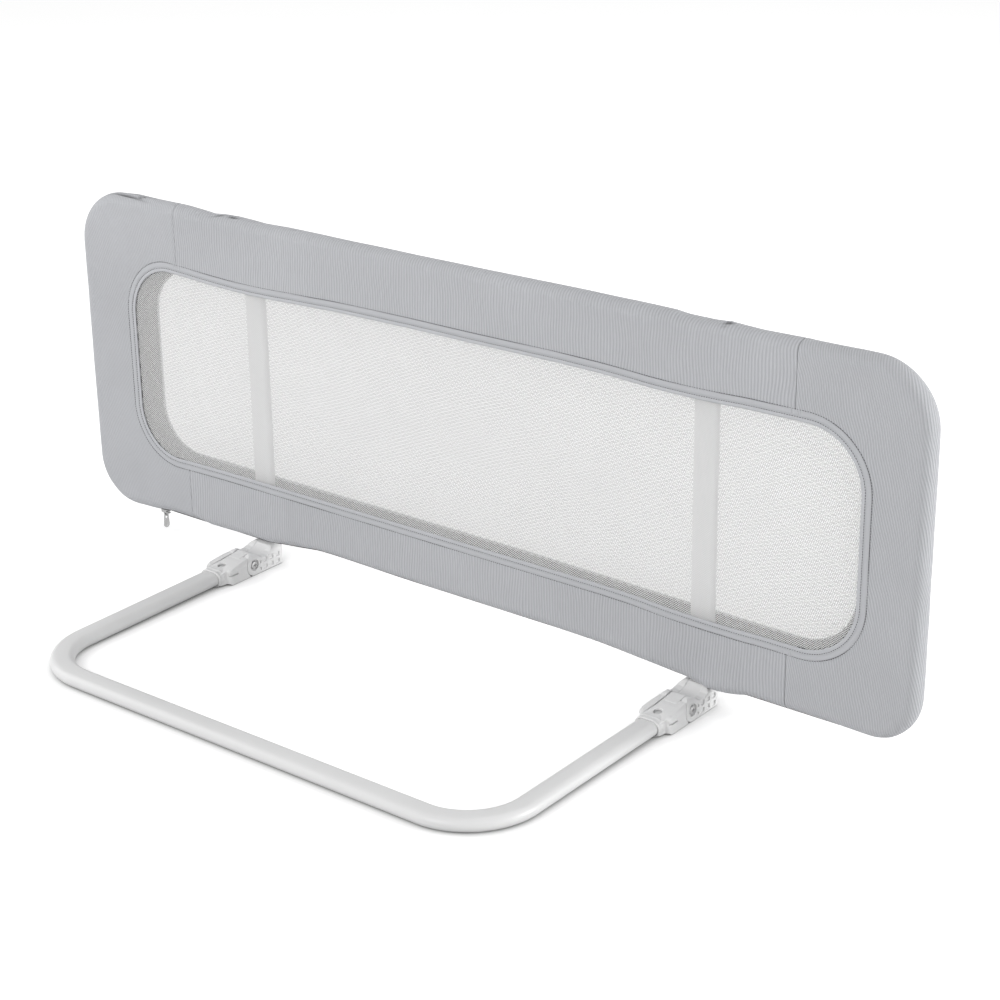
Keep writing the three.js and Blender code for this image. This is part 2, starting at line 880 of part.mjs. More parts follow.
function coverShell() {
  const cuts = [-1, 1].map((face) => {
    const shape = windowOutline(face, bindingWidth + gap);
    return facePrism(shape, face, 0, coverThickness);
  });
  return without(pillow(rimRadius), [pillow(cavityRadius), ...cuts]);
}

function addCover() {
  const shell = coverShell();
  addSolid('zip_tape', shell.intersect(zipBand(0)), zipTapeFabric);
  const cover = without(shell, [zipBand(gap), postSlot(-1), postSlot(1)]);
  const seam = seamOffset + seamGap / 2;
  const middle = seamOffset - seamGap / 2;
  const regions = {
    cover_left_end: [[-panelLength, -coverThickness, 0], [-seam, coverThickness, panelLength]],
    cover_right_end: [[seam, -coverThickness, 0], [panelLength, coverThickness, panelLength]],
    cover_top_strip: [[-middle, -coverThickness, panelMiddle], [middle, coverThickness, panelLength]],
    cover_bottom_front: [[-middle, -coverThickness, 0], [middle, zipLine, panelMiddle]],
    cover_bottom_back: [[-middle, zipLine, 0], [middle, coverThickness, panelMiddle]],
  };
  for (const [name, [low, high]] of Object.entries(regions)) {
    addSolid(name, cover.intersect(box(low, high)), fabric);
  }
}

// Diamond gaps in staggered rows, halved along the straight edges and kept clear of the
// window's rounded corners
function netGaps(face) {
  const gaps = [];
  const [endInset, edgeInset] = face > 0 ? [backEndInset, backEdgeInset] : [0, 0];
  const halfLength = windowHalfLength - endInset - netEdge;
  const low = windowLow + edgeInset + netEdge;
  const high = windowHigh - edgeInset - netEdge;
  const radius = windowCornerRadius - edgeInset - netEdge;
  const pitch = (2 * halfLength) / netColumns;
  const rowPitch = (high - low) / (netRows + 1);
  const diagonal = Math.hypot(pitch / 2, rowPitch);
  const share = 1 - (strandWidth * diagonal) / (pitch * rowPitch);
  const half = [(pitch / 2) * share, rowPitch * share];
  const inside = ([x, z]) => {
    const dx = Math.max(Math.abs(x) - (halfLength - radius), 0);
    const dz = Math.max(Math.abs(z - (low + high) / 2) - ((high - low) / 2 - radius), 0);
    return Math.hypot(dx, dz) <= radius;
  };
  for (let row = 0; row <= netRows + 1; row += 1) {
    const z = low + row * rowPitch;
    const shift = row % 2 ? 1 / 2 : 0;
    for (let column = 0; column + shift <= netColumns; column += 1) {
      const x = (column + shift) * pitch - halfLength;
      const tips = [[x + half[0], z], [x, z + half[1]], [x - half[0], z], [x, z - half[1]]];
      const kept = tips.filter(inside);
      if (kept.length > 2) {
        gaps.push(outline(kept));
      }
    }
  }
  return gaps;
}

function net(face) {
  const shape = windowOutline(face, bindingWidth + netMargin);
  const sheet = facePrism(shape, face, netFront - netThickness, netFront);
  const cutters = netGaps(face).map((cut) => facePrism(cut, face, 0, coverThickness));
  return without(sheet, cutters);
}

function addWindow(face, name) {
  addSolid(`${name}_mesh`, net(face), netFabric);
  const ring = windowOutline(face, bindingWidth);
  ring.holes.push(windowOutline(face, 0));
  addSolid(`${name}_binding`, facePrism(ring, face, cavityRadius, rimRadius), bindingFabric);
}

// Zip slider and puller

function zipSlider() {
  const x = -zipHalfLength + sliderLength / 2;
  const bottom = zipSlideTop - sliderHeight;
  const half = sliderWidth / 2;
  const body = box(
    [x - sliderLength / 2, zipLine - half, bottom],
    [x + sliderLength / 2, zipLine + half, zipSlideTop],
  );
  const outer = bailHalfOpening + bailBar;
  const bailFace = [zipLine - bailThickness / 2, zipLine + bailThickness / 2];
  const low = bottom - bailDrop - bailBar;
  const bail = box([x - outer, bailFace[0], low], [x + outer, bailFace[1], bottom + bailBar]);
  const eye = box(
    [x - bailHalfOpening, bailFace[0] - overrun, bottom - bailDrop],
    [x + bailHalfOpening, bailFace[1] + overrun, bottom],
  );
  return body.add(bail).subtract(eye);
}

// A drop-shaped plate whose top bar lies in the slider's bail
function zipPuller() {
  const x = -zipHalfLength + sliderLength / 2;
  const top = pinHeight + pullerBar;
  const low = top - pullerLength;
  const neck = pullerNeckWidth / 2;
  const radius = pullerWidth / 2;
  const shape = new THREE.Shape();
  shape.moveTo(zipLine - neck, top);
  shape.lineTo(zipLine - radius, low + radius);
  shape.absarc(zipLine, low + radius, radius, Math.PI, 2 * Math.PI);
  shape.lineTo(zipLine + neck, top);
  shape.closePath();
  const eyeTop = pinHeight - pullerBar;
  const half = pullerEyeWidth / 2;
  shape.holes.push(outline([
    [zipLine - half, eyeTop - pullerEyeLength],
    [zipLine + half, eyeTop - pullerEyeLength],
    [zipLine + half, eyeTop],
    [zipLine - half, eyeTop],
  ]));
  return sidePrism(shape, x - pullerThickness / 2, x + pullerThickness / 2);
}

// The whole guard

addSolid('base_u_tube', baseLoop(), whitePaint);
addNode('top_tube', topTube(), whitePaint);
for (const [side, name] of [[-1, 'left'], [1, 'right']]) {
  addSolid(`${name}_tube_connector`, tubeConnector(side), whitePlastic);
  addSolid(`${name}_hinge_bracket`, hingeBracket(side), whitePlastic);
  addSolid(`${name}_pivot_bolt`, pivotBolt(side), steel);
  addSolid(`${name}_pivot_nut`, pivotNut(side), steel);
  addSolid(`${name}_pivot_washer`, pivotWasher(side), whitePlastic);
  addSolid(`${name}_snap_button`, snapButton(side), darkPlastic);
  addSolid(`${name}_snap_spring`, snapSpring(side), steel);
  addSolid(`${name}_post`, post(side), whitePaint);
  addSolid(`${name}_top_connector`, topConnector(side), whitePlastic);
  addSolid(`${name}_foot_connector`, footConnector(side), whitePlastic);
  addSolid(`${name}_foot_screw`, footScrew(side), steel);
  addSolid(`${name}_head_screw`, headScrew(side), steel);
  addNode(`${name}_end_tube`, endTube(side), whitePaint);
}
addCover();
addWindow(-1, 'front');
addWindow(1, 'back');
addSolid('zip_slider', zipSlider(), steel);
addSolid('zip_puller', zipPuller(), steel);

export default root;
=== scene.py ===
import math

import bmesh
import bpy
import numpy as np
from mathutils import Matrix, Vector


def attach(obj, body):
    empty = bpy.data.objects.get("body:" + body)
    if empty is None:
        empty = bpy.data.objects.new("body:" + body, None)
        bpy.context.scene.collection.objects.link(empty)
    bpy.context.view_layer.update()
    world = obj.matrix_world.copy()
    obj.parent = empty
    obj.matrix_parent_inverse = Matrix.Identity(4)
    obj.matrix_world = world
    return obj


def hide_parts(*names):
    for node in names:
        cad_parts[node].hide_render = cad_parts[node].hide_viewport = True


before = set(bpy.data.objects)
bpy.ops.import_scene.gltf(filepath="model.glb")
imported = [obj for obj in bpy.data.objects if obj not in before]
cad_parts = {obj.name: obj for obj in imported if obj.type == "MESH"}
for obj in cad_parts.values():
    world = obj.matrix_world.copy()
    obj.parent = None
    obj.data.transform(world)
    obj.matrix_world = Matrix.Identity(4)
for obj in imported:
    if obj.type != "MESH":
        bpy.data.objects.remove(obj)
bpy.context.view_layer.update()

# Sizes in millimetres. x runs from the middle between the hinges, y from the panel's middle plane.
# face is -1 for the panel's front and 1 for its back, and side is -1 for the left and 1 for the right
SIDE_SHIFT, DEPTH_SHIFT = 9, 189.5
HALF_LENGTH, PANEL_SHIFT = 600, -9
PANEL_LOW, PANEL_HIGH = 29, 437
RIM = 12.5
CORNER, LOW_CORNER = 70, 55
SEAM = 438
CLOTH = 0.9
WINDOW_HALF, WINDOW_LOW, WINDOW_HIGH, WINDOW_CORNER = 517, 107, 354, 64
BINDING, BACK_END_INSET, BACK_EDGE_INSET = 12, 17, 5
NET_FACE = 10.8
HINGE_X = 323
POST_WIDTH, POST_DEPTH, POST_WALL, POST_LINE = 30, 10, 1.2, 4.8
POST_FOOT, POST_HEAD = 6, 413.7
TUBE_WIDTH, TUBE_HEIGHT, TUBE_WALL = 28, 16, 1.2
LOOP_FRONT, LOOP_BEND, ARM_LIFT, ARM_END = 377.5, 74, 3, 60.5
PIVOT_SETBACK, PIVOT_HEIGHT, EYE = 42, 13.5, 13.2
PIVOT = (-PIVOT_SETBACK, PIVOT_HEIGHT)
HINGE_HALF, HINGE_TOP, HINGE_BACK = 21, 27, 11.6
BUTTON_SETBACK = 78
PIN_BORE, PIN_RADIUS, BUTTON_HOLE = 3.3, 3, 5
ZIP_HALF, ZIP_LINE, ZIP_WIDTH, ZIP_GAP = 502, -5.3, 4.4, 0.3
SLIDER_X, SLIDER_LOW, SLIDER_TOP, SLIDER_HALF = -495, 24.95, 28.95, 2.4
STITCH_HALF_GAP, CLOTH_EDGE, NET_EDGE = 0.15, 0.6 * BINDING, 2.5
RIM_LOW, RIM_HIGH = PANEL_LOW + RIM, PANEL_HIGH - RIM
SIDES = {"left": -1, "right": 1}


# Meshes

def placed(points):
    """Points in millimetres, moved to the part's frame in metres."""
    return (np.array(points, float).reshape(-1, 3) + (SIDE_SHIFT, DEPTH_SHIFT, 0)) / 1000


def shaded(mesh, angle=40):
    mesh.shade_smooth()
    mesh.set_sharp_from_angle(angle=math.radians(angle))


def made(name, points, faces, uv=None, angle=40):
    """A mesh object from points in millimetres, with an optional pattern place for each point."""
    mesh = bpy.data.meshes.new(name)
    mesh.from_pydata(placed(points).tolist(), [], [list(f) for f in faces])
    if uv is not None:
        layer = mesh.uv_layers.new(name="pattern")
        corner = np.zeros(len(mesh.loops), int)
        mesh.loops.foreach_get("vertex_index", corner)
        layer.data.foreach_set("uv", (np.asarray(uv, float)[corner] / 1000).ravel())
    mesh.update()
    shaded(mesh, angle)
    obj = bpy.data.objects.new(name, mesh)
    bpy.context.scene.collection.objects.link(obj)
    return obj


def outward(obj):
    """Merges doubles and turns every face outwards."""
    work = bmesh.new()
    work.from_mesh(obj.data)
    bmesh.ops.remove_doubles(work, verts=work.verts, dist=1e-6)
    bmesh.ops.recalc_face_normals(work, faces=work.faces)
    work.to_mesh(obj.data)
    work.free()
    shaded(obj.data)
    return obj


def with_shaded_inside(obj):
    """Two places for materials: the outside's, and the inside's, which is painted nearly black for the shade inside
    the cover.
    """
    for _ in range(2):
        obj.data.materials.append(None)


def settled(obj, angle=40):
    """Applies the object's modifiers to its mesh."""
    graph = bpy.context.evaluated_depsgraph_get()
    mesh = bpy.data.meshes.new_from_object(obj.evaluated_get(graph))
    obj.modifiers.clear()
    obj.data = mesh
    shaded(mesh, angle)
    return obj


def cut(obj, others, kind="DIFFERENCE"):
    """Cuts an object by others, or joins or crosses it with them, and removes them."""
    for other in others:
        step = obj.modifiers.new(kind.lower(), "BOOLEAN")
        step.operation, step.solver, step.object = kind, "EXACT", other
        settled(obj)
        bpy.data.objects.remove(other)
    return obj


def capped(name, near, far):
    """A closed block between two outlines that have as many points."""
    count = len(near)
    faces = [list(range(count)), list(range(2 * count - 1, count - 1, -1))]
    faces += [[k, k + count, (k + 1) % count + count, (k + 1) % count] for k in range(count)]
    return outward(made(name, np.r_[near, far], faces))


def prism(points, axis, low, high):
    """A flat outline pulled along one axis. The outline's numbers fill the other two axes in order."""
    ring = np.array(points, float)
    return capped("block", np.insert(ring, axis, low, axis=1), np.insert(ring, axis, high, axis=1))


def slab(axis, low, high, first, second):
    """A box from its reach along one axis and its (start, end) along the other two."""
    (a, b), (c, d) = first, second
    return prism([(a, c), (b, c), (b, d), (a, d)], axis, low, high)


def round_bar(axis, radius, low, high, place, steps=48):
    turn = np.linspace(0, 2 * math.pi, steps, endpoint=False)
    ring = np.c_[place[0] + radius * np.cos(turn), place[1] + radius * np.sin(turn)]
    return prism(ring, axis, low, high)


def turned(name, profile, axis, place, steps=40):
    """A shape turned about a line along one axis, from (radius, along) pairs that start and end on it."""
    spots, rows, faces = [], [], []
    for radius, along in profile:
        size = steps if radius > 0 else 1
        rows.append(range(len(spots), len(spots) + size))
        for k in range(size):
            angle = 2 * math.pi * k / steps
            ring = [place[0] + radius * math.cos(angle), place[1] + radius * math.sin(angle)]
            spots.append(ring[:axis] + [along] + ring[axis:])
    for near, far in zip(rows, rows[1:]):
        for k in range(steps):
            after = (k + 1) % steps
            if len(near) == 1:
                faces.append([near[0], far[k], far[after]])
            elif len(far) == 1:
                faces.append([near[k], far[0], near[after]])
            else:
                faces.append([near[k], far[k], far[after], near[after]])
    return outward(made(name, spots, faces))


def oval(width, height, steps=14):
    """A flat oval's outline round the origin, along its first axis."""
    radius, reach = height / 2, (width - height) / 2
    turn = np.linspace(-math.pi / 2, math.pi / 2, steps)
    right = np.c_[reach + radius * np.cos(turn), radius * np.sin(turn)]
    return np.r_[right, -right]


def swept(name, rings, uv=None):
    """A closed skin over rings of points, with a hollow where the rings come back inside."""
    rings = np.array(rings, float)
    count, size = rings.shape[:2]
    faces = []
    for row in range(count):
        ahead = (row + 1) % count
        for k in range(size):
            after = (k + 1) % size
            faces.append([row * size + k, ahead * size + k, ahead * size + after, row * size + after])
    return outward(made(name, rings.reshape(-1, 3), faces, uv))


def tube(name, spots, directions, up, width, height, wall, steps=14):
    """A flat-oval tube with open ends, along a line of spots."""
    outer, inner = oval(width, height, steps), oval(width - 2 * wall, height - 2 * wall, steps)
    rings = []
    for shape, order in ((outer, range(len(spots))), (inner, range(len(spots) - 1, -1, -1))):
        for k in order:
            side = np.cross(up, directions[k])
            side /= np.linalg.norm(side)
            rise = np.cross(directions[k], side)
            rings.append([spots[k] + a * side + b * rise for a, b in shape])
    return swept(name, rings)


# Node trees

def wired(tree, kind, **settings):
    """A node with its settings, and its inputs given by number as links or values."""
    node = tree.nodes.new(kind)
    inputs = settings.pop("inputs", {})
    for key, value in settings.items():
        setattr(node, key, value)
    for key, value in inputs.items():
        if isinstance(value, bpy.types.NodeSocket):
            tree.links.new(value, node.inputs[key])
        else:
            node.inputs[key].default_value = value
    return node


def reckon(tree, operation, first, second=None, third=None):
    inputs = {k: v for k, v in enumerate((first, second, third)) if v is not None}
    return wired(tree, "ShaderNodeMath", operation=operation, inputs=inputs).outputs[0]


def node_group(kind, name, inputs, outputs):
    """A new group with its named inputs and outputs, and its two end nodes."""
    tree = bpy.data.node_groups.new(name, kind)
    for label, socket_kind, value in inputs:
        socket = tree.interface.new_socket(label, in_out="INPUT", socket_type=socket_kind)
        if value is not None:
            socket.default_value = value
    for label, socket_kind in outputs:
        tree.interface.new_socket(label, in_out="OUTPUT", socket_type=socket_kind)
    return tree, tree.nodes.new("NodeGroupInput"), tree.nodes.new("NodeGroupOutput")


def noise(tree, place, scale, detail):
    return wired(tree, "ShaderNodeTexNoise", inputs={"Vector": place, "Scale": scale, "Detail": detail}).outputs[0]


NUMBER, PLACE, FORM = "NodeSocketFloat", "NodeSocketVector", "NodeSocketGeometry"
ROW_PITCH = 0.0013


def rib_group():
    """Ribs that lean from the upright, crossed by finer threads, in metres."""
    tree, start, end = node_group(
        "ShaderNodeTree", "ribbed cloth",
        [("Place", PLACE, None), ("Pitch", NUMBER, 0.0028), ("Lean", NUMBER, 0.0), ("Depth", NUMBER, 1.0)],
        [("Height", NUMBER), ("Shade", NUMBER)],
    )
    split = wired(tree, "ShaderNodeSeparateXYZ", inputs={0: start.outputs["Place"]})
    wander = noise(tree, start.outputs["Place"], 14.0, 1.0)
    leaning = reckon(tree, "MULTIPLY", split.outputs[1], start.outputs["Lean"])
    across = reckon(tree, "ADD", split.outputs[0], leaning)
    across = reckon(tree, "MULTIPLY_ADD", wander, 0.012, across)
    turns = reckon(tree, "DIVIDE", across, start.outputs["Pitch"])
    rib = reckon(tree, "SINE", reckon(tree, "MULTIPLY", turns, 2 * math.pi))
    rows = reckon(tree, "MULTIPLY", split.outputs[1], 2 * math.pi / ROW_PITCH)
    offset = reckon(tree, "MULTIPLY", reckon(tree, "ROUND", turns), math.pi)
    thread = reckon(tree, "SINE", reckon(tree, "ADD", rows, offset))
    fuzz = noise(tree, start.outputs["Place"], 900.0, 2.0)
    height = reckon(tree, "MULTIPLY_ADD", thread, 0.3, rib)
    height = reckon(tree, "MULTIPLY_ADD", fuzz, 0.6, height)
    height = reckon(tree, "MULTIPLY", height, start.outputs["Depth"])
    tree.links.new(height, end.inputs["Height"])
    # Painted shade of the ribs: the colour is lighter on their raised lines and darker in their grooves.
    tree.links.new(reckon(tree, "MULTIPLY_ADD", height, 0.42, 0.5), end.inputs["Shade"])
    return tree


def wear_group():
    """Slow and fine unevenness for painted, moulded and cloth surfaces."""
    tree, start, end = node_group(
        "ShaderNodeTree", "uneven surface",
        [("Place", PLACE, None), ("Broad", NUMBER, 12.0), ("Fine", NUMBER, 600.0)],
        [("Broad Mask", NUMBER), ("Fine Height", NUMBER)],
    )
    broad = noise(tree, start.outputs["Place"], start.outputs["Broad"], 3.0)
    fine = noise(tree, start.outputs["Place"], start.outputs["Fine"], 2.0)
    tree.links.new(broad, end.inputs["Broad Mask"])
    tree.links.new(fine, end.inputs["Fine Height"])
    return tree


def seam_group():
    """A dark line where the cover's pieces are sewn together, at a distance along the pattern."""
    tree, start, end = node_group(
        "ShaderNodeTree", "sewn seam",
        [("Place", PLACE, None), ("At", NUMBER, SEAM / 1000), ("Half Width", NUMBER, 0.0006)],
        [("Mask", NUMBER)],
    )
    split = wired(tree, "ShaderNodeSeparateXYZ", inputs={0: start.outputs["Place"]})
    along = reckon(tree, "ABSOLUTE", split.outputs[0])
    away = reckon(tree, "ABSOLUTE", reckon(tree, "SUBTRACT", along, start.outputs["At"]))
    mask = reckon(tree, "SUBTRACT", 1.0, reckon(tree, "DIVIDE", away, start.outputs["Half Width"]))
    tree.links.new(wired(tree, "ShaderNodeClamp", inputs={0: mask}).outputs[0], end.inputs["Mask"])
    return tree


RIBS, WEAR, SEAM_LINE = rib_group(), wear_group(), seam_group()


def material(name):
    mat = bpy.data.materials.new(name)
    mat.use_nodes = True
    tree = mat.node_tree
    shader = tree.nodes["Principled BSDF"]
    spots = wired(tree, "ShaderNodeTexCoord")
    return mat, tree, shader, spots


def mixed(tree, share, first, second, way="MIX"):
    """Two colours, each a link or four numbers, put together by a share."""
    colours = {0: share, 6: first, 7: second}
    return wired(tree, "ShaderNodeMix", data_type="RGBA", blend_type=way, inputs=colours).outputs[2]


def bumped(tree, height, strength, distance):
    return wired(tree, "ShaderNodeBump", inputs={
        "Height": height, "Strength": strength, "Distance": distance}).outputs[0]


def grey(level, tint=(1, 1, 1)):
    return (*(level * t for t in tint), 1)


# The binding's tone across its width, darkest at its outer edge where the shade in the gap beside the cover is
# painted, as (millimetres from the window's edge, level)
BINDING_TONES_AND_GAP_SHADE = ((0, 0.9), (4.0, 1.0), (4.7, 1.12), (5.6, 0.84), (8, 0.92), (11.3, 0.9), (11.8, 0.45), (13, 0.3))


def banded(tree, spots, colour):
    """A colour with the binding's tones and its painted gap shade. The ramp holds half of each, because it can't pass
    1.
    """
    across = wired(tree, "ShaderNodeSeparateXYZ", inputs={0: spots.outputs["UV"]}).outputs[1]
    reach = BINDING_TONES_AND_GAP_SHADE[-1][0]
    ramp = wired(tree, "ShaderNodeValToRGB", inputs={0: reckon(tree, "DIVIDE", across, reach / 1000)})
    line = ramp.color_ramp
    for k, (place, level) in enumerate(BINDING_TONES_AND_GAP_SHADE):
        spot = line.elements[k] if k < 2 else line.elements.new(place / reach)
        spot.position, spot.color = place / reach, grey(level / 2)
    shade = mixed(tree, 1.0, ramp.outputs[0], ramp.outputs[0], "ADD")
    return mixed(tree, 1.0, colour, shade, "MULTIPLY")


def cloth(name, dark, light, pitch, lean, relief):
    """Ribbed cloth. The cover also has a line at each seam, fainter on the left, and painted shade in its creases."""
    mat, tree, shader, spots = material(name)
    ribs = wired(tree, "ShaderNodeGroup", node_tree=RIBS, inputs={0: spots.outputs["UV"], 1: pitch, 2: lean})
    slow = wired(tree, "ShaderNodeGroup", node_tree=WEAR, inputs={0: spots.outputs["Object"], 1: 9.0})
    mask = reckon(tree, "MULTIPLY_ADD", slow.outputs[0], 0.35, reckon(tree, "MULTIPLY", ribs.outputs[1], 0.65))
    colour = mixed(tree, mask, dark, light)
    if "cover" in name:
        line = wired(tree, "ShaderNodeGroup", node_tree=SEAM_LINE, inputs={0: spots.outputs["UV"]})
        along = wired(tree, "ShaderNodeSeparateXYZ", inputs={0: spots.outputs["UV"]}).outputs[0]
        depth = reckon(tree, "MULTIPLY_ADD", reckon(tree, "GREATER_THAN", along, 0.0), 0.45, 0.12)
        colour = mixed(tree, reckon(tree, "MULTIPLY", line.outputs[0], depth), colour, grey(0.12))
        # Painted shade: the cloth darkens towards nearly black where the crease attribute marks the shade inside a
        # fold.
        fold = wired(tree, "ShaderNodeAttribute", attribute_name="crease").outputs["Fac"]
        colour = mixed(tree, reckon(tree, "MULTIPLY", fold, 0.9), colour, grey(0.05))
    if "binding" in name:
        colour = banded(tree, spots, colour)
    tree.links.new(colour, shader.inputs["Base Color"])
    tree.links.new(bumped(tree, ribs.outputs[0], 0.6, relief), shader.inputs["Normal"])
    for label, value in (("Roughness", 0.88), ("Specular IOR Level", 0.25), ("Sheen Weight", 0.15),
                         ("Sheen Roughness", 0.5)):
        shader.inputs[label].default_value = value
    return mat


def hard(name, dark, light, roughness, grain, depth, metallic=0.0, coat=0.0):
    """Paint, moulded plastic or metal with a fine grain and slow changes of shade and gloss."""
    mat, tree, shader, spots = material(name)
    worn = wired(tree, "ShaderNodeGroup", node_tree=WEAR, inputs={0: spots.outputs["Object"], 2: grain})
    tree.links.new(mixed(tree, worn.outputs[0], dark, light), shader.inputs["Base Color"])
    gloss = reckon(tree, "MULTIPLY_ADD", worn.outputs[0], 0.12, roughness - 0.06)
    tree.links.new(gloss, shader.inputs["Roughness"])
    tree.links.new(bumped(tree, worn.outputs[1], 0.35, depth), shader.inputs["Normal"])
    shader.inputs["Metallic"].default_value = metallic
    shader.inputs["Coat Weight"].default_value = coat
    return mat


COOL = (0.985, 1.0, 1.045)
LOOKS = {
    "middle": cloth("cover cloth middle", grey(0.385, COOL), grey(0.56, COOL), 0.0038, 0.0, 0.0005),
    "end": cloth("cover cloth end", grey(0.375, COOL), grey(0.56, COOL), 0.0030, 0.27, 0.0004),
    # The lining is the inside of the cloth, painted nearly black for the shade between the cover's front and back.
    "lining": cloth("cloth inside painted shade", grey(0.05), grey(0.07), 0.003, 0.0, 0.0002),
    "binding": cloth("window binding cloth", grey(0.48, COOL), grey(0.58, COOL), 0.0014, 0.0, 0.0001),
    "zip tape": cloth("zip tape cloth", grey(0.36, COOL), grey(0.46, COOL), 0.0012, 0.0, 0.0001),
    "front net": hard("white net thread", grey(0.84), grey(0.87), 0.8, 900.0, 0.00002),
    # The back net's threads are the same white thread as the front's, painted darker for the shade they lie in.
    "back net": hard("back net thread painted shade", grey(0.68), grey(0.71), 0.8, 900.0, 0.00002),
    # The posts' paint is the same powder coat as the loop's, painted brighter to make up for the shade that the nets
    # cast on them.
    "post paint brightened": hard("powder coat brightened for net shade", grey(0.91), grey(0.94), 0.45, 1400.0, 0.00003),
    "thread": hard("stitching thread", grey(0.16, COOL), grey(0.24, COOL), 0.75, 1500.0, 0.00003),
    "light thread": hard("light stitching thread", grey(0.46, COOL), grey(0.56, COOL), 0.75, 1500.0, 0.00003),
    "paint": hard("light powder coat", grey(0.67), grey(0.72), 0.40, 1400.0, 0.00004, coat=0.15),
    "plastic": hard("light moulded plastic", grey(0.72), grey(0.77), 0.5, 1800.0, 0.00005),
    "button": hard("grey button plastic", grey(0.56), grey(0.62), 0.45, 1800.0, 0.00003),
    "steel": hard("dark zinc steel", grey(0.46), grey(0.54), 0.4, 2200.0, 0.00002, metallic=0.5),
    "spring": hard("spring steel", grey(0.34), grey(0.42), 0.32, 2200.0, 0.00001, metallic=1.0),
    "zip metal": hard("painted zip metal", grey(0.38), grey(0.46), 0.36, 2200.0, 0.00002, metallic=0.6),
}


def dressed(obj, look, body, slot, *nodes):
    """Gives a finished piece its material and body, and hides the solid nodes that it stands for; its slot is not
    used.
    """
    finishes = obj.data.materials
    if len(finishes) == 2:
        # The second place takes the inside's painted shade.
        finishes[0], finishes[1] = LOOKS[look], LOOKS["lining"]
    else:
        finishes.clear()
        finishes.append(LOOKS[look])
    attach(obj, body)
    if nodes:
        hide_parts(*nodes)


# Base loop

def arm_height(setback):
    run = LOOP_FRONT - LOOP_BEND - ARM_END
    return TUBE_HEIGHT / 2 + ARM_LIFT * (LOOP_FRONT - LOOP_BEND - setback) / run


def bent_line(corners, radius, steps):
    """Spots and directions along straight runs joined by round bends."""
    corners = [np.array(c, float) for c in corners]
    runs = [(b - a) / np.linalg.norm(b - a) for a, b in zip(corners, corners[1:])]
    spots, directions = [corners[0]], [runs[0]]
    for k in range(1, len(corners) - 1):
        ahead, turned_to = runs[k - 1], runs[k]
        angle = math.acos(float(np.clip(ahead @ turned_to, -1, 1)))
        inward = turned_to - ahead * (ahead @ turned_to)
        inward /= np.linalg.norm(inward)
        centre = corners[k] - ahead * radius * math.tan(angle / 2) + inward * radius
        for a in np.linspace(0, angle, steps):
            spots.append(centre - inward * radius * math.cos(a) + ahead * radius * math.sin(a))
            directions.append(ahead * math.cos(a) + inward * math.sin(a))
    return spots + [corners[-1]], directions + [runs[-1]]


def base_loop():
    ends = [(side * HINGE_X, -ARM_END, arm_height(ARM_END)) for side in (-1, 1)]
    front = [(side * HINGE_X, -LOOP_FRONT, TUBE_HEIGHT / 2) for side in (-1, 1)]
    spots, directions = bent_line([ends[0], front[0], front[1], ends[1]], LOOP_BEND, 40)
    loop = tube("base_loop_tube", spots, directions, (0, 0, 1), TUBE_WIDTH, TUBE_HEIGHT, TUBE_WALL)
    holes = [round_bar(2, 4.6, 15, 30, (side * HINGE_X, -BUTTON_SETBACK)) for side in (-1, 1)]
    dressed(cut(loop, holes), "paint", "base", "white_paint", "base_u_tube")


# Hinges

def shoulder_section():
    """The rounded block seen along the arm."""
    flat, level, chamfer = HINGE_HALF * 0.45, 15, 1.2
    right = [(HINGE_HALF - chamfer, 0), (HINGE_HALF, chamfer)]
    right += round_corner(((HINGE_HALF, level), (HINGE_HALF, HINGE_TOP), (flat, HINGE_TOP)), 12)
    return right + [(-x, z) for x, z in reversed(right)]


def round_corner(spots, steps):
    """A curve from the first of three spots to the last, drawn to the middle one."""
    start, middle, end = (np.array(spot) for spot in spots)
    return [tuple((1 - t) ** 2 * start + 2 * t * (1 - t) * middle + t * t * end) for t in np.linspace(0, 1, steps)]


def arc(centre, radius, start, end, steps=20):
    turn = np.radians(np.linspace(start, end, steps))
    return [(centre[0] + radius * math.cos(a), centre[1] + radius * math.sin(a)) for a in turn]


def arm_bar(width, height, front, back):
    """A flat-oval bar along the loop's sloping arm, between two setbacks."""
    spots = [np.array((0, -s, arm_height(s)), float) for s in (front, back)]
    along = (spots[1] - spots[0]) / np.linalg.norm(spots[1] - spots[0])
    side = np.cross(along, (0, 0, 1))
    rise = np.cross(side, along)
    near, far = ([spot + a * side + b * rise for a, b in oval(width, height)] for spot in spots)
    return capped("arm bar", near, far)


def moulded(obj, grain=0.42, rounds=3):
    """Softens every edge of a block as a mould does."""
    remesh = obj.modifiers.new("even faces", "REMESH")
    remesh.mode, remesh.voxel_size = "VOXEL", grain / 1000
    soften = obj.modifiers.new("soft edges", "SMOOTH")
    soften.factor, soften.iterations = 0.5, rounds
    return settled(obj, 180)


def hinge_part(block, label, side, kind, body, node):
    """A block shaped at x = 0, moulded, moved to its side and dressed."""
    piece = moulded(block)
    piece.data.transform(Matrix.Translation((side * HINGE_X / 1000, 0, 0)))
    piece.name = f"{label}_{kind}_moulding"
    dressed(piece, "plastic", body, "white_plastic", f"{label}_{node}")


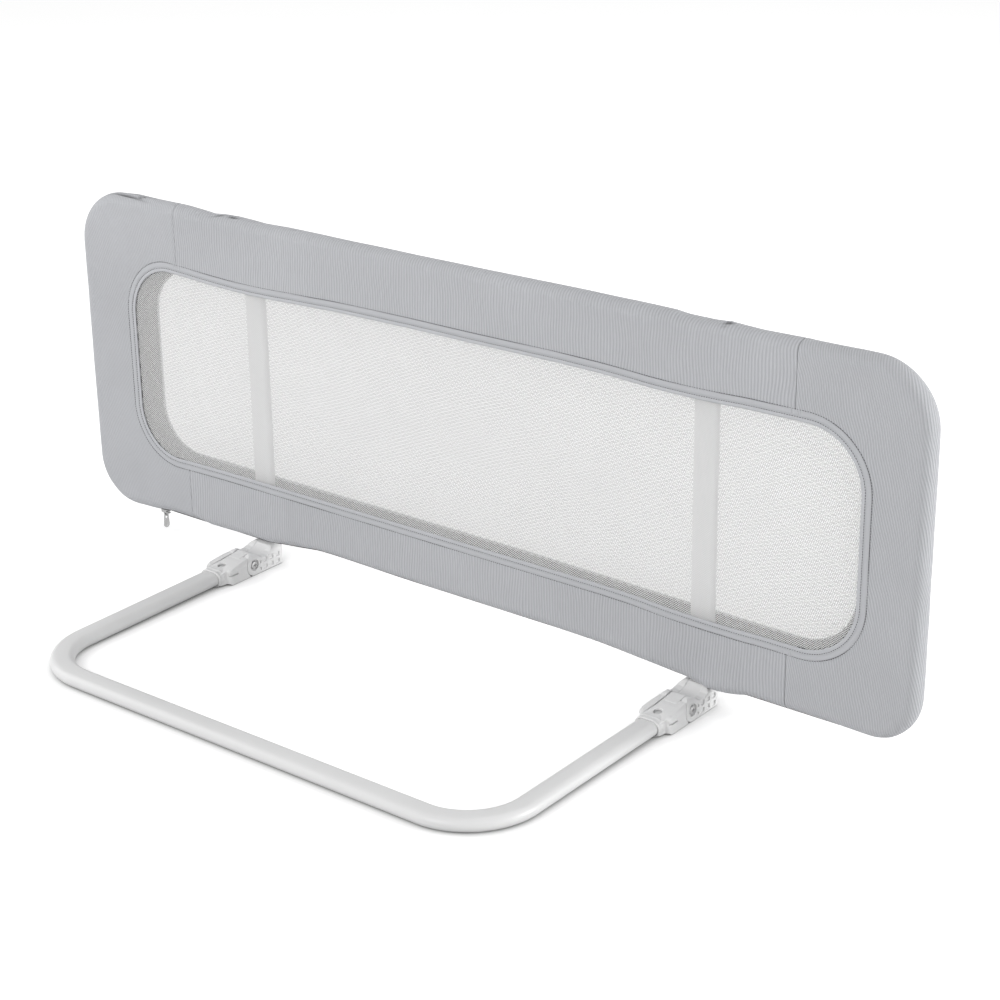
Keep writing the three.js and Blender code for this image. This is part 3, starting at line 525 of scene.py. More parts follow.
def tube_connector(label, side):
    """The block on the loop's end, seen from the side, cut to its plan and hollowed for the fork."""
    play = 0.5
    back = -PIVOT_SETBACK - EYE - play - 2
    hug = -PIVOT_SETBACK - 8.8
    profile = [(-96, 2.4), (-84, 2.4), (-81, 0.4), (-80, 0), (hug, 0), (hug, 24.9), (-64, 23.6),
               (-BUTTON_SETBACK, 21.3), (-88, 18.8), (-96, 17)]
    plan = [(-13.5, -96), (13.5, -96), (15, -90), (15.5, -86)] + arc((15.2, -80.2), 5.8, -60, 0, 8)
    plan += [(HINGE_HALF, hug), (-HINGE_HALF, hug), (-HINGE_HALF, -76), (-18.5, -84), (-14, -91)]
    block = prism(profile, 0, -HINGE_HALF, HINGE_HALF)
    cut(block, [prism(plan, 2, -1, 30), prism(shoulder_section(), 1, -99, hug)], "INTERSECT")
    cut(block, [round_bar(0, EYE + play, *reach, PIVOT, 96) for reach in ((-30, -9.9), (9.9, 30))])
    heel_top, heel_back = 5, 17.5 - PIVOT_SETBACK
    heel_angle = math.degrees(math.asin((heel_top - PIVOT_HEIGHT) / EYE))
    tongue = [(back, 0.3), (heel_back, 0.3), (heel_back, heel_top)] + arc(PIVOT, EYE, heel_angle, 90) + [(back, 24.6)]
    lobe = [(0, -86), (2.4, -85.4), (3.8, -83), (4.2, -80), (4.2, -62), (3.2, -57), (0, -56.2)]
    cut(block, [
        prism(tongue, 0, -7.7, 9.7),
        arm_bar(31.0, 19.0, 98.5, 70),
        arm_bar(32.2, 20.2, 98.5, 95.6),
        arm_bar(31.8, 19.8, 91.5, 89.5),
        *[turned("lobe", lobe, 1, (end * 16.9, 17.0)) for end in (-1, 1)],
    ], "UNION")
    groove = [(-10, hug + 1), (-7.7, hug + 1), (-8.6, -70), (-12.6, -89), (-14.2, -89), (-10.6, -70)]
    cut(block, [
        arm_bar(28.6, 16.6, 106, 60.2),
        round_bar(2, BUTTON_HOLE, 13, 30, (0, -BUTTON_SETBACK)),
        round_bar(0, PIN_BORE, -10, 10, PIVOT),
        prism(groove, 2, 18.6, 30),
        *[slab(0, low, high, (-88, -71), (12.0, 13.8)) for low, high in ((17.8, 30), (-30, -17.8))],
    ])
    hinge_part(block, label, side, "connector", "base", "tube_connector")


def bracket_plan(front):
    """The bracket from above, with round corners behind the post."""
    ring = [(-HINGE_HALF, front), (HINGE_HALF, front)]
    return ring + arc((12, HINGE_BACK - 9), 9, 0, 90) + arc((-12, HINGE_BACK - 9), 9, 90, 180)


def hinge_bracket(label, side):
    """The fork round the connector's tongue and the cross block behind it, with the post's slot and the pockets."""
    floor, play, bend = 0.3, 0.4, HINGE_BACK - 6
    heel = arc((bend, 6.3), 6, -80, 0, 8) + [(HINGE_BACK, HINGE_TOP)]
    fork = arc(PIVOT, EYE, 36, 270, 30) + [(bend, floor)] + heel
    fork += [(-6, HINGE_TOP), (-9, 25.0), (-14, 21.2), (-20, 19.2), (-26, 19.0)]
    reach, stop, stop_top = EYE + play, 17.8 - PIVOT_SETBACK, 5.3
    seat = math.degrees(math.asin((stop_top - PIVOT_HEIGHT) / reach))
    cross = [(stop, floor), (bend, floor)] + heel + [(-2, HINGE_TOP)]
    cross += round_corner(((-6.5, 26.0), (-14, 18.2), (reach - PIVOT_SETBACK, 18.2)), 14)
    cross += arc(PIVOT, reach, 0, seat, 12) + [(stop, stop_top)]
    block = prism(fork, 0, -HINGE_HALF, -10)
    cut(block, [prism(fork, 0, 10, HINGE_HALF), prism(cross, 0, -10.5, 10.5)], "UNION")
    front = -PIVOT_SETBACK - EYE - 1
    cut(block, [prism(shoulder_section(), 1, front, 15), prism(bracket_plan(front), 2, -1, 30)], "INTERSECT")
    slot = oval(POST_WIDTH + 0.6, POST_DEPTH + 0.6) + np.array((0, POST_LINE))
    cutters = [prism(slot, 2, POST_FOOT - 0.3, 40), round_bar(0, PIN_BORE, -30, 30, PIVOT)]
    for end in (-1, 1):
        cutters.append(round_bar(0, 7, *sorted((end * 18, end * 23)), PIVOT))
        low, high = sorted((end * 19.0, end * 23))
        for level in (6, 15):
            for middle, width, height in ((-1.8, 6.5, 5.6), (-12.6, 6.5, 5.6), (-23.4, 6.5, 5.6), (-31.8, 2.6, 3.4)):
                w, h = width / 2, height / 2
                cutters.append(slab(0, low, high, (middle - w, middle + w), (level - h, level + h)))
    hinge_part(cut(block, cutters), label, side, "bracket", "guard_panel", "hinge_bracket")


def pivot_bolt(label, side):
    seat = side * HINGE_X + HINGE_HALF - 2.8
    tip = side * HINGE_X - HINGE_HALF + 0.2
    profile = [(0, tip), (2.6, tip), (PIN_RADIUS, tip + 0.5), (PIN_RADIUS, seat), (5.0, seat), (5.2, seat + 0.3),
               (5.2, seat + 1.3), (4.9, seat + 1.9), (4.0, seat + 2.45), (2.4, seat + 2.75), (0, seat + 2.8)]
    bolt = turned(f"{label}_bolt_turning", profile, 0, PIVOT)
    cross = [slab(0, seat + 1.1, seat + 4, (PIVOT[0] - a, PIVOT[0] + a), (PIVOT[1] - b, PIVOT[1] + b))
             for a, b in ((2.7, 0.55), (0.55, 2.7))]
    dressed(cut(bolt, cross), "steel", "guard_panel", "steel", f"{label}_pivot_bolt")


def snap_button(label, side):
    place = (side * HINGE_X, -BUTTON_SETBACK)
    profile = [(0, 15.2), (6.0, 15.2), (6.2, 15.4), (6.2, 17.0), (6.0, 17.2), (4.1, 17.2), (4.1, 18.1),
               (3.9, 18.7), (3.4, 19.1), (2.3, 19.32), (0, 19.4)]
    button = turned(f"{label}_button_turning", profile, 2, place)
    dressed(button, "button", f"{label}_button", "button_plastic", f"{label}_snap_button")


def post(label, side):
    spots = [np.array((side * HINGE_X, POST_LINE, z), float) for z in (POST_FOOT, POST_HEAD)]
    ends = [np.array((0, 0, 1.0))] * 2
    piece = tube(f"{label}_post_tube", spots, ends, (0, 1, 0), POST_WIDTH, POST_DEPTH, POST_WALL, 20)
    holes = [round_bar(1, 2.05, -3, POST_LINE, (side * HINGE_X, z)) for z in (RIM_LOW, POST_HEAD - 12)]
    dressed(cut(piece, holes), "post paint brightened", "guard_panel", "white_paint", f"{label}_post")


# Cover

# How far the bottom edge is drawn up between the posts, as (place along x, rise)
RISE = ((-306, 0), (-289, 2.9), (-260, 5.9), (-227, 10.0), (-194, 10.2), (-162, 9.8), (-99, 8.6), (138, 8.4),
        (190, 7.6), (221, 5.9), (248, 3.9), (275, 2.2), (304, 0))


def bottom_rise(x):
    """The bottom edge's rise, evened out over 18 mm."""
    steps = np.linspace(-9, 9, 13)
    return sum(np.interp(x + step, *zip(*RISE)) for step in steps) / len(steps)


def end_line(half, low, high, upper, lower, side):
    """Spots round one end from the seam at its top to the seam at its bottom, and the outward directions."""
    start = SEAM + STITCH_HALF_GAP
    turn = np.linspace(math.pi / 2, 0, 27)
    spread = np.linspace(0, 1, 28) ** 1.6
    zs = np.linspace(high - upper, low + lower, 60)[1:-1]
    parts, outs = [], []
    for xs, level, way in (
        ((start + (half - upper - start) * spread)[:-1], high, 1.0),
        ((start + (half - lower - start) * spread)[::-1][1:], low, -1.0),
    ):
        radius, angles = (upper, turn) if way > 0 else (lower, -turn[::-1])
        arm = np.c_[np.cos(angles), np.sin(angles)]
        bend = (np.array((half - radius, level - way * radius)) + radius * arm, arm)
        flat = (np.c_[xs, np.full(len(xs), level)], np.tile((0.0, way), (len(xs), 1)))
        upright = (np.c_[np.full(len(zs), half), zs], np.tile((1.0, 0.0), (len(zs), 1)))
        for spots, directions in (flat, bend, upright) if way > 0 else (bend, flat):
            parts.append(spots)
            outs.append(directions)
    mirror = np.array((side, 1.0))
    return np.concatenate(parts) * mirror, np.concatenate(outs) * mirror


def bump(value, centre, width):
    return np.exp(-(((value - centre) / width) ** 2))


def noise_wave(x, z, seed):
    """A slow unevenness of stretched cloth, from a few fixed waves."""
    spread = np.random.default_rng(seed)
    total = 0
    for _ in range(7):
        angle, length, phase = spread.uniform(0, math.pi), spread.uniform(50, 190), spread.uniform(0, 6.3)
        total = total + np.sin((x * math.cos(angle) + z * math.sin(angle)) * 2 * math.pi / length + phase)
    return total / 7


def strip_profile(breaks=()):
    """Steps across the cover: (face, share or angle) from the front window edge over the rim to the back."""
    rows = [("front", t) for t in np.linspace(1, 0, 14)[:-1]]
    turns = sorted(set(np.round(np.r_[np.linspace(-90, 90, 51), breaks], 3)))
    rows += [("rim", a) for a in turns]
    rows += [("back", t) for t in np.linspace(0, 1, 14)[1:]]
    return rows


def cover_grid(rim_spots, outs, edges, rows):
    """Points, outward directions and pattern places of the cover along a stretch of the rim."""
    grid, normals, pattern = [], [], []
    for kind, value in rows:
        angle = math.radians({"front": -90, "back": 90}.get(kind, value))
        if kind == "rim":
            flat = rim_spots + outs * RIM * math.cos(angle)
            place = rim_spots + outs * RIM * (math.pi / 2 - abs(angle))
        else:
            place = flat = rim_spots + (edges[kind] - rim_spots) * value
        across = outs * math.cos(angle)
        grid.append(np.c_[flat[:, 0], np.full(len(flat), RIM * math.sin(angle)), flat[:, 1]])
        normals.append(np.c_[across[:, 0], np.full(len(flat), math.sin(angle)), across[:, 1]])
        pattern.append(place)
    return np.array(grid), np.array(normals), np.array(pattern)


# The turns from the crest at which the cover is open for the zip
ZIP_EDGES = [math.degrees(math.asin((ZIP_LINE + end * (ZIP_WIDTH / 2 + ZIP_GAP)) / RIM)) for end in (-1, 1)]
# How far the stretched cloth stands out along the top and the bottom edge, as (place along x, lift)
TOP_LINE = ((-560, 0), (-535, 1.0), (-510, 3.0), (-466, 2.4), (-423, 2.6), (-392, 0.4), (-382, -0.8), (-362, 1.4),
            (-340, 2.2), (-318, 1.2), (-299, -0.2), (-259, 1.2), (-181, 1.0), (-32, 0.6), (107, 1.5), (238, 2.0),
            (284, 1.2), (300, -0.8), (331, -1.0), (352, 0.8), (364, 0.2), (390, -1.0), (419, -0.4), (504, 0.7),
            (560, 0))
LOW_LINE = ((-600, 0), (-583, 0.5), (-546, 4.2), (-509, 2.8), (-472, -0.8), (-435, -1.0), (-408, 1.2), (-380, 0.8),
            (-340, 0), (302, 0), (318, 1.6), (330, 4.0), (340, 5.8), (352, 6.2), (366, 5.0),
            (380, 2.4), (390, -0.8), (402, -1.0), (427, -0.4), (452, -0.8), (560, 1.5), (590, 0))
# Folds along the top edge, as (place along x, turn from the crest, half length, half width, depth, lean)
FOLDS = (
    (-525, -22, 30, 6, -1.6, -0.35), (-522, -10, 28, 9, 1.3, -0.2), (-520, 14, 30, 10, 0.8, 0.16),
    (-384, -8, 10, 6, -1.0, 0.7), (-372, -16, 9, 8, 1.0, 0.9), (-362, -6, 8, 6, -1.1, 0.9),
    (-350, -14, 9, 9, 1.2, 0.8), (-342, 0, 7, 6, -1.0, 0.8), (338, -8, 4, 9, -1.2, 1.0),
    (352, -8, 5, 12, 1.5, 0.8), (326, -12, 4, 9, -0.7, 0.8),
)
# Painted shade in sharp creases along the top edge, in the same order, with a strength in place of the depth
CREASE_SHADES = (
    (-525, -22, 38, 6, 1.0, -0.35), (-497, -14, 10, 7, 1.0, 2.2), (-522, -1, 34, 5, 0.85, -0.1),
    (-361, -16, 16, 6, 1.0, 1.2), (-343, -20, 11, 6, 1.0, 0.3), (352, -18, 7, 8, 1.0, 1.2),
    (349, -40, 4, 7, 0.35, 1.0),
)
UPPER_PART = 380


def unevenness(grid, rows, top):
    """How far each point of the cover stands out or in, and how much painted crease shade it takes, from 0 to 1."""
    x, z = grid[..., 0], grid[..., 2]
    turns = {"front": lambda v: -90 - 90 * v, "rim": lambda v: v, "back": lambda v: 90 + 90 * v}
    turn = np.array([turns[kind](value) for kind, value in rows])[:, None] * np.ones(x.shape)
    upper = (z > UPPER_PART) if top is None else top
    height = 0.45 * noise_wave(x, z + 3 * grid[..., 1], 5)
    near = np.abs(np.abs(x) - SEAM)
    height = height + 0.25 * bump(near, 4, 3) - 0.2 * bump(near, 0, 1.0)
    crest = np.where(upper, bump(turn, -10, 60), bump(turn, -30, 48))
    line = np.where(upper, np.interp(x, *zip(*TOP_LINE)), np.interp(x, *zip(*LOW_LINE)))
    height = height + crest * line
    for along, angle, length, width, depth, lean in FOLDS:
        shifted = turn - angle - lean * (x - along)
        fold = depth * bump(x, along, length) * bump(shifted, 0, width)
        height = height + np.where(upper, fold, 0)
    # The creases' painted shade, from 0 to 1.
    dark = 0 * x
    for along, angle, length, width, strength, lean in CREASE_SHADES:
        line = strength * bump(x, along, length) ** 2 * bump(turn - angle - lean * (x - along), 0, width)
        dark = np.maximum(dark, np.where(upper, line, 0))
    return height, dark


def skinned(name, grid, pattern, keep=None, dark=None):
    """A sheet from a grid of points, without the cells that aren't kept."""
    rows, columns = grid.shape[:2]
    faces = []
    for r in range(rows - 1):
        for c in range(columns - 1):
            if keep is None or keep[r, c]:
                corner = r * columns + c
                faces.append([corner, corner + 1, corner + columns + 1, corner + columns])
    obj = made(name, grid.reshape(-1, 3), faces, pattern.reshape(-1, 2), 180)
    if dark is not None:
        # The creases' painted shade is kept as a point attribute for the cloth's colour.
        obj.data.attributes.new("crease", "FLOAT", "POINT").data.foreach_set("value", dark.ravel())
    work = bmesh.new()
    work.from_mesh(obj.data)
    loose = [v for v in work.verts if not v.link_faces]
    bmesh.ops.delete(work, geom=loose, context="VERTS")
    work.to_mesh(obj.data)
    work.free()
    return obj


def cloth_piece(name, layout, rows, keep=None, top=None):
    """A piece of the cover with its waves, folds and the painted shade of its creases, thickened inwards, with its
    inside painted dark as shade.
    """
    grid, normals, pattern = layout
    facing = np.cross(grid[0, 1] - grid[0, 0], grid[1, 0] - grid[0, 0]) @ normals[0, 0]
    height, dark = unevenness(grid, rows, top)
    grid = grid + normals * (height - 0.8 * dark)[..., None]
    obj = skinned(name, grid, pattern, keep, dark)
    if facing < 0:
        obj.data.flip_normals()
    wall = obj.modifiers.new("cloth", "SOLIDIFY")
    wall.thickness, wall.offset, wall.use_even_offset = CLOTH / 1000, -1, True
    with_shaded_inside(obj)
    # The inner side takes the painted shade of the inside.
    wall.material_offset = 1
    return settled(obj, 60)


# How far the front window's top and bottom edges wander from level, as (place along x, rise)
TOP_WAVE = ((-529, 0), (-460, 0), (-430, -1.0), (-400, -2.7), (-370, -3.9), (-340, -4.8), (-310, -4.8), (-280, -4.1),
            (-250, -2.7), (-220, -1.8), (-190, -0.4), (-160, 0.2), (-70, 1.2), (20, 1.0), (140, 1.9), (200, 1.2),
            (230, 0.1), (260, -1.5), (290, -2.2), (320, -2.2), (350, -1.5), (380, -0.2), (438, 0.1), (529, 0))
LOW_WAVE = ((-529, 0), (-470, 2.2), (-438, 3.4), (-370, 4.4), (-220, 4.4), (200, 4.6), (240, 3.8), (290, 0.8),
            (330, -0.3), (380, -0.5), (410, 0.5), (438, 0.4), (529, 0))
# The back window's bottom edge hangs lower towards the right, and its right end reaches further
BACK_LOW_WAVE = ((-529, 0), (80, 0), (250, -2.6), (440, -4.5), (529, -2))
BACK_REACH = ((400, 0), (500, 4))


def waved(face, spots):
    """Window spots (x, z) moved to the front or the back window's wandering edges."""
    spots = np.array(spots, float)
    x, z = spots.T
    high = z > (WINDOW_LOW + WINDOW_HIGH) / 2
    if face < 0:
        spots[:, 1] += np.where(high, np.interp(x, *zip(*TOP_WAVE)), np.interp(x, *zip(*LOW_WAVE)))
    else:
        spots[:, 1] += np.where(high, 0, np.interp(x, *zip(*BACK_LOW_WAVE)))
        spots[:, 0] += np.interp(x, *zip(*BACK_REACH))
    return spots


def window_edge(face, offset):
    """Half length, low, high and corner of a window's opening, widened by an offset under its binding."""
    end, edge = (BACK_END_INSET, BACK_EDGE_INSET) if face > 0 else (0, 0)
    return (WINDOW_HALF - end + offset, WINDOW_LOW + edge - offset,
            WINDOW_HIGH - edge + offset, WINDOW_CORNER - edge + offset)


def end_piece(label, side):
    half = HALF_LENGTH - RIM + side * PANEL_SHIFT
    rim, outs = end_line(half, RIM_LOW, RIM_HIGH, CORNER - RIM, LOW_CORNER - RIM, side)
    edges = {}
    for face, kind in ((-1, "front"), (1, "back")):
        half, low, high, radius = window_edge(face, CLOTH_EDGE)
        edges[kind] = waved(face, end_line(half, low, high, radius, radius, side)[0])
    rows = strip_profile(ZIP_EDGES)
    layout = cover_grid(rim, outs, edges, rows)
    grid = layout[0]
    middle = (grid[:-1, :-1] + grid[1:, 1:]) / 2
    zipped = (np.abs(middle[..., 0]) < ZIP_HALF + ZIP_GAP) & (middle[..., 2] < RIM_LOW)
    zipped &= np.abs(middle[..., 1] - ZIP_LINE) < ZIP_WIDTH / 2 + ZIP_GAP
    piece = cloth_piece(f"{label}_end_cloth", layout, rows, ~zipped)
    dressed(piece, "end", "guard_panel", "cover_fabric", f"cover_{label}_end")


def level_strip(high):
    """The stretch of the top or the bottom edge between the seams, as cover_grid takes it."""
    reach = SEAM - STITCH_HALF_GAP
    close = reach - np.array((0.5, 1.1, 1.9))
    xs = np.unique(np.r_[np.linspace(-reach, reach, 260), close, -close])
    rim = np.c_[xs, RIM_HIGH + 0 * xs if high else RIM_LOW + bottom_rise(xs)]
    outs = np.c_[0 * xs, np.full(len(xs), 1.0 if high else -1.0)]
    edges = {}
    for face, kind in ((-1, "front"), (1, "back")):
        level = window_edge(face, CLOTH_EDGE)[2 if high else 1]
        edges[kind] = waved(face, np.c_[xs, np.full(len(xs), level)])
    return rim, outs, edges


def top_strip():
    rows = strip_profile()
    piece = cloth_piece("top_strip_cloth", cover_grid(*level_strip(True), rows), rows, None, True)
    dressed(piece, "middle", "guard_panel", "cover_fabric", "cover_top_strip")


def bottom_strips():
    """The front and the back piece, each from its window to its side of the zip."""
    for kind, end, edge in (("front", -1, ZIP_EDGES[0]), ("back", 1, ZIP_EDGES[1])):
        rows = [(k, v) for k, v in strip_profile(ZIP_EDGES) if k == kind or (k == "rim" and (v - edge) * end > -0.01)]
        piece = cloth_piece(f"bottom_{kind}_cloth", cover_grid(*level_strip(False), rows), rows, None, False)
        if kind == "back":
            slot = oval(POST_WIDTH + 1.2, POST_DEPTH + 1.2)
            cut(piece, [prism(slot + np.array((side * HINGE_X, POST_LINE)), 2, 20, RIM_LOW) for side in (-1, 1)])
        dressed(piece, "middle", "guard_panel", "cover_fabric", f"cover_bottom_{kind}")


# Window

def window_ring(face, offset, steps=18):
    """Spots round a window from its right end upwards, with many along the wandering top and bottom."""
    half, low, high, radius = window_edge(face, offset)
    spots = []
    for quarter, (cx, cz) in enumerate(((half - radius, high - radius), (radius - half, high - radius),
                                        (radius - half, low + radius), (half - radius, low + radius))):
        for k in range(steps + 1):
            angle = math.pi / 2 * (quarter + k / steps)
            spots.append((cx + radius * math.cos(angle), cz + radius * math.sin(angle)))
        if quarter in (0, 2):
            spots += [(cx * share, spots[-1][1]) for share in np.linspace(1, -1, 72)[1:-1]]
    return waved(face, spots)


def binding(face, name):
    """A folded tape round the window, with its two edges rolled under."""
    section = [(0.4, -0.9), (0, -0.2), (0.1, 0.1), (0.5, 0.35), (1.4, 0.45), (3.9, 0.45), (4.4, 0.3), (4.9, 0.3),
               (5.4, 0.5), (8, 0.55), (10.6, 0.55), (11.5, 0.45), (12, 0.2), (12.1, 0.0), (12, -0.6), (6, -0.9)]
    base = window_ring(face, 6)
    base = np.r_[base, base[:1]]
    length = np.r_[0, np.cumsum(np.linalg.norm(np.diff(base, axis=0), axis=1))]
    rings, pattern = [], []
    for offset, lift in section:
        ring = window_ring(face, offset)
        ring = np.r_[ring, ring[:1]]
        rings.append(np.c_[ring[:, 0], np.full(len(ring), face * (RIM - 0.3 + lift)), ring[:, 1]])
        pattern.append(np.c_[length, np.full(len(ring), offset)])
    tape = swept(name, rings, np.concatenate(pattern))
    with_shaded_inside(tape)
    # Faces turned in towards the panel's middle take the inside's painted shade.
    for polygon in tape.data.polygons:
        polygon.material_index = int(polygon.normal.y * face < -0.5)
    return tape


def geometry_tree(name, sockets):
    return node_group("GeometryNodeTree", name, [("Geometry", FORM, None), *sockets], [("Geometry", FORM)])


def finished_tree(tree, end, start, geometry):
    """Ends a tree with plain geometry in the material that it is given."""
    real = wired(tree, "GeometryNodeRealizeInstances", inputs={0: geometry})
    coat = wired(tree, "GeometryNodeSetMaterial", inputs={0: real.outputs[0], 2: start.outputs["Finish"]})
    tree.links.new(coat.outputs[0], end.inputs[0])
    return tree


def grown(name, tree, values, data=None):
    """A plain mesh from a geometry tree, with the tree's named inputs set."""
    data = data or bpy.data.meshes.new(name)
    obj = bpy.data.objects.new(name, data)
    bpy.context.scene.collection.objects.link(obj)
    step = obj.modifiers.new("tree", "NODES")
    step.node_group = tree
    for socket in tree.interface.items_tree:
        if socket.in_out == "INPUT" and socket.name in values:
            step[socket.identifier] = values[socket.name]
    return settled(obj, 50)


def net_tree():
    """Two sets of slanting threads that cross, trimmed to a window with round corners."""
    tree, start, end = geometry_tree("net threads", [
        ("Half Length", NUMBER, 0.5), ("Low", NUMBER, 0.1), ("High", NUMBER, 0.3), ("Corner", NUMBER, 0.06),
        ("Pitch", NUMBER, 0.003), ("Slope", NUMBER, 1.2), ("Depth", NUMBER, 0.0), ("Thread", NUMBER, 0.0004),
        ("Gap", NUMBER, 0.0002), ("Finish", "NodeSocketMaterial", None)])
    value = start.outputs
    tall = reckon(tree, "SUBTRACT", value["High"], value["Low"])
    reach = reckon(tree, "DIVIDE", tall, value["Slope"])
    width = reckon(tree, "ADD", reckon(tree, "MULTIPLY", value["Half Length"], 2.0), reach)
    count = reckon(tree, "CEIL", reckon(tree, "DIVIDE", width, value["Pitch"]))
    first = reckon(tree, "MULTIPLY", width, -0.5)
    both = wired(tree, "GeometryNodeJoinGeometry")
    for way in (-1, 1):
        level = reckon(tree, "MULTIPLY_ADD", value["Gap"], float(way), value["Depth"])
        begin = wired(tree, "ShaderNodeCombineXYZ", inputs={0: first, 1: level, 2: value["Low"]})
        along = wired(tree, "ShaderNodeCombineXYZ", inputs={0: value["Pitch"]})
        row = wired(tree, "GeometryNodeMeshLine", inputs={
            "Count": count, "Start Location": begin.outputs[0], "Offset": along.outputs[0]})
        half = reckon(tree, "MULTIPLY", reach, 0.5 * way)
        low = wired(tree, "ShaderNodeCombineXYZ", inputs={0: reckon(tree, "MULTIPLY", half, -1.0)})
        high = wired(tree, "ShaderNodeCombineXYZ", inputs={0: half, 2: tall})
        line = wired(tree, "GeometryNodeCurvePrimitiveLine", inputs={
            "Start": low.outputs[0], "End": high.outputs[0]})
        fine = wired(tree, "GeometryNodeResampleCurve", inputs={"Curve": line.outputs[0], "Count": 90})
        threads = wired(tree, "GeometryNodeInstanceOnPoints", inputs={
            "Points": row.outputs[0], "Instance": fine.outputs[0]})
        tree.links.new(threads.outputs[0], both.inputs[0])
    real = wired(tree, "GeometryNodeRealizeInstances", inputs={0: both.outputs[0]})
    spot = wired(tree, "ShaderNodeSeparateXYZ", inputs={
        0: wired(tree, "GeometryNodeInputPosition").outputs[0]})
    middle = reckon(tree, "MULTIPLY", reckon(tree, "ADD", value["High"], value["Low"]), 0.5)
    beyond = []
    for there, half in (
        (spot.outputs[0], value["Half Length"]),
        (reckon(tree, "SUBTRACT", spot.outputs[2], middle), reckon(tree, "MULTIPLY", tall, 0.5)),
    ):
        free = reckon(tree, "SUBTRACT", half, value["Corner"])
        beyond.append(reckon(tree, "MAXIMUM", reckon(tree, "SUBTRACT", reckon(tree, "ABSOLUTE", there), free), 0.0))
    squares = reckon(tree, "ADD", *(reckon(tree, "MULTIPLY", b, b) for b in beyond))
    outside = reckon(tree, "GREATER_THAN", reckon(tree, "SQRT", squares), value["Corner"])
    kept = wired(tree, "GeometryNodeDeleteGeometry", domain="POINT", inputs={0: real.outputs[0], 1: outside})
    lean = wired(tree, "GeometryNodeResampleCurve", inputs={"Curve": kept.outputs[0], "Count": 2})
    ring = wired(tree, "GeometryNodeCurvePrimitiveCircle", inputs={"Resolution": 4, "Radius": value["Thread"]})
    body = wired(tree, "GeometryNodeCurveToMesh", inputs={
        "Curve": lean.outputs[0], "Profile Curve": ring.outputs[0], "Fill Caps": True})
    return finished_tree(tree, end, start, body.outputs[0])


def stitch_tree():
    """Small thread loops laid end to end along a line."""
    tree, start, end = geometry_tree("stitches", [
        ("Pitch", NUMBER, 0.003), ("Length", NUMBER, 0.0022), ("Thickness", NUMBER, 0.0006),
        ("Width", NUMBER, 0.0006), ("Finish", "NodeSocketMaterial", None)])
    line = wired(tree, "GeometryNodeMeshToCurve", inputs={0: start.outputs[0]})
    spots = wired(tree, "GeometryNodeResampleCurve", inputs={"Curve": line.outputs[0]})
    spots.mode = "LENGTH"
    tree.links.new(start.outputs["Pitch"], spots.inputs["Length"])
    ball = wired(tree, "GeometryNodeMeshUVSphere", inputs={"Segments": 6, "Rings": 4, "Radius": 0.5})
    size = wired(tree, "ShaderNodeCombineXYZ", inputs={
        0: start.outputs["Thickness"], 1: start.outputs["Width"], 2: start.outputs["Length"]})
    tangent = wired(tree, "GeometryNodeInputTangent")
    aim = wired(tree, "FunctionNodeAlignRotationToVector", axis="Z", inputs={"Vector": tangent.outputs[0]})
    laid = wired(tree, "GeometryNodeInstanceOnPoints", inputs={
        "Points": spots.outputs[0], "Instance": ball.outputs[0], "Rotation": aim.outputs[0],
        "Scale": size.outputs[0]})
    return finished_tree(tree, end, start, laid.outputs[0])


NET_TREE, STITCH_TREE = net_tree(), stitch_tree()


def line_mesh(name, spots, closed):
    mesh = bpy.data.meshes.new(name)
    count = len(spots)
    edges = [(k, (k + 1) % count) for k in range(count if closed else count - 1)]
    mesh.from_pydata(placed(spots).tolist(), edges, [])
    return mesh


def stitched(name, spots, look, closed=True, pitch=3.0, length=2.3, thickness=0.7, width=0.7):
    values = {"Pitch": pitch / 1000, "Length": length / 1000, "Thickness": thickness / 1000,
              "Width": width / 1000, "Finish": LOOKS[look]}
    return grown(name, STITCH_TREE, values, line_mesh(name, spots, closed))


def window(face, name, pitch, slope):
    """A net on one side of the panel, with its binding and the binding's two rows of stitches."""
    half, low, high, radius = window_edge(face, NET_EDGE)
    depth = face * (NET_FACE - 0.35) + DEPTH_SHIFT
    net = grown(f"{name}_net_threads", NET_TREE, {
        "Half Length": half / 1000, "Low": low / 1000, "High": high / 1000, "Corner": radius / 1000,
        "Pitch": pitch, "Slope": slope, "Thread": 0.00033, "Gap": 0.0002, "Depth": depth / 1000,
        "Finish": LOOKS[f"{name} net"]})
    spots = np.zeros(3 * len(net.data.vertices))
    net.data.vertices.foreach_get("co", spots)
    spots = spots.reshape(-1, 3)
    spots[:, ::2] = waved(face, 1000 * spots[:, ::2]) / 1000
    spots[:, 0] += SIDE_SHIFT / 1000
    net.data.vertices.foreach_set("co", spots.ravel())
    dressed(net, f"{name} net", "guard_panel", "net", f"{name}_mesh")
    dressed(binding(face, f"{name}_binding_tape"), "binding", "guard_panel", "binding", f"{name}_binding")
    for row, (offset, look, level) in enumerate(((12.3, "thread", 0.15), (4.55, "light thread", 0.35))):
        ring = window_ring(face, offset)
        spots = np.c_[ring[:, 0], np.full(len(ring), face * (RIM + level)), ring[:, 1]]
        dressed(stitched(f"{name}_stitch_row_{row + 1}", spots, look), look, "guard_panel", "binding")


# Zip

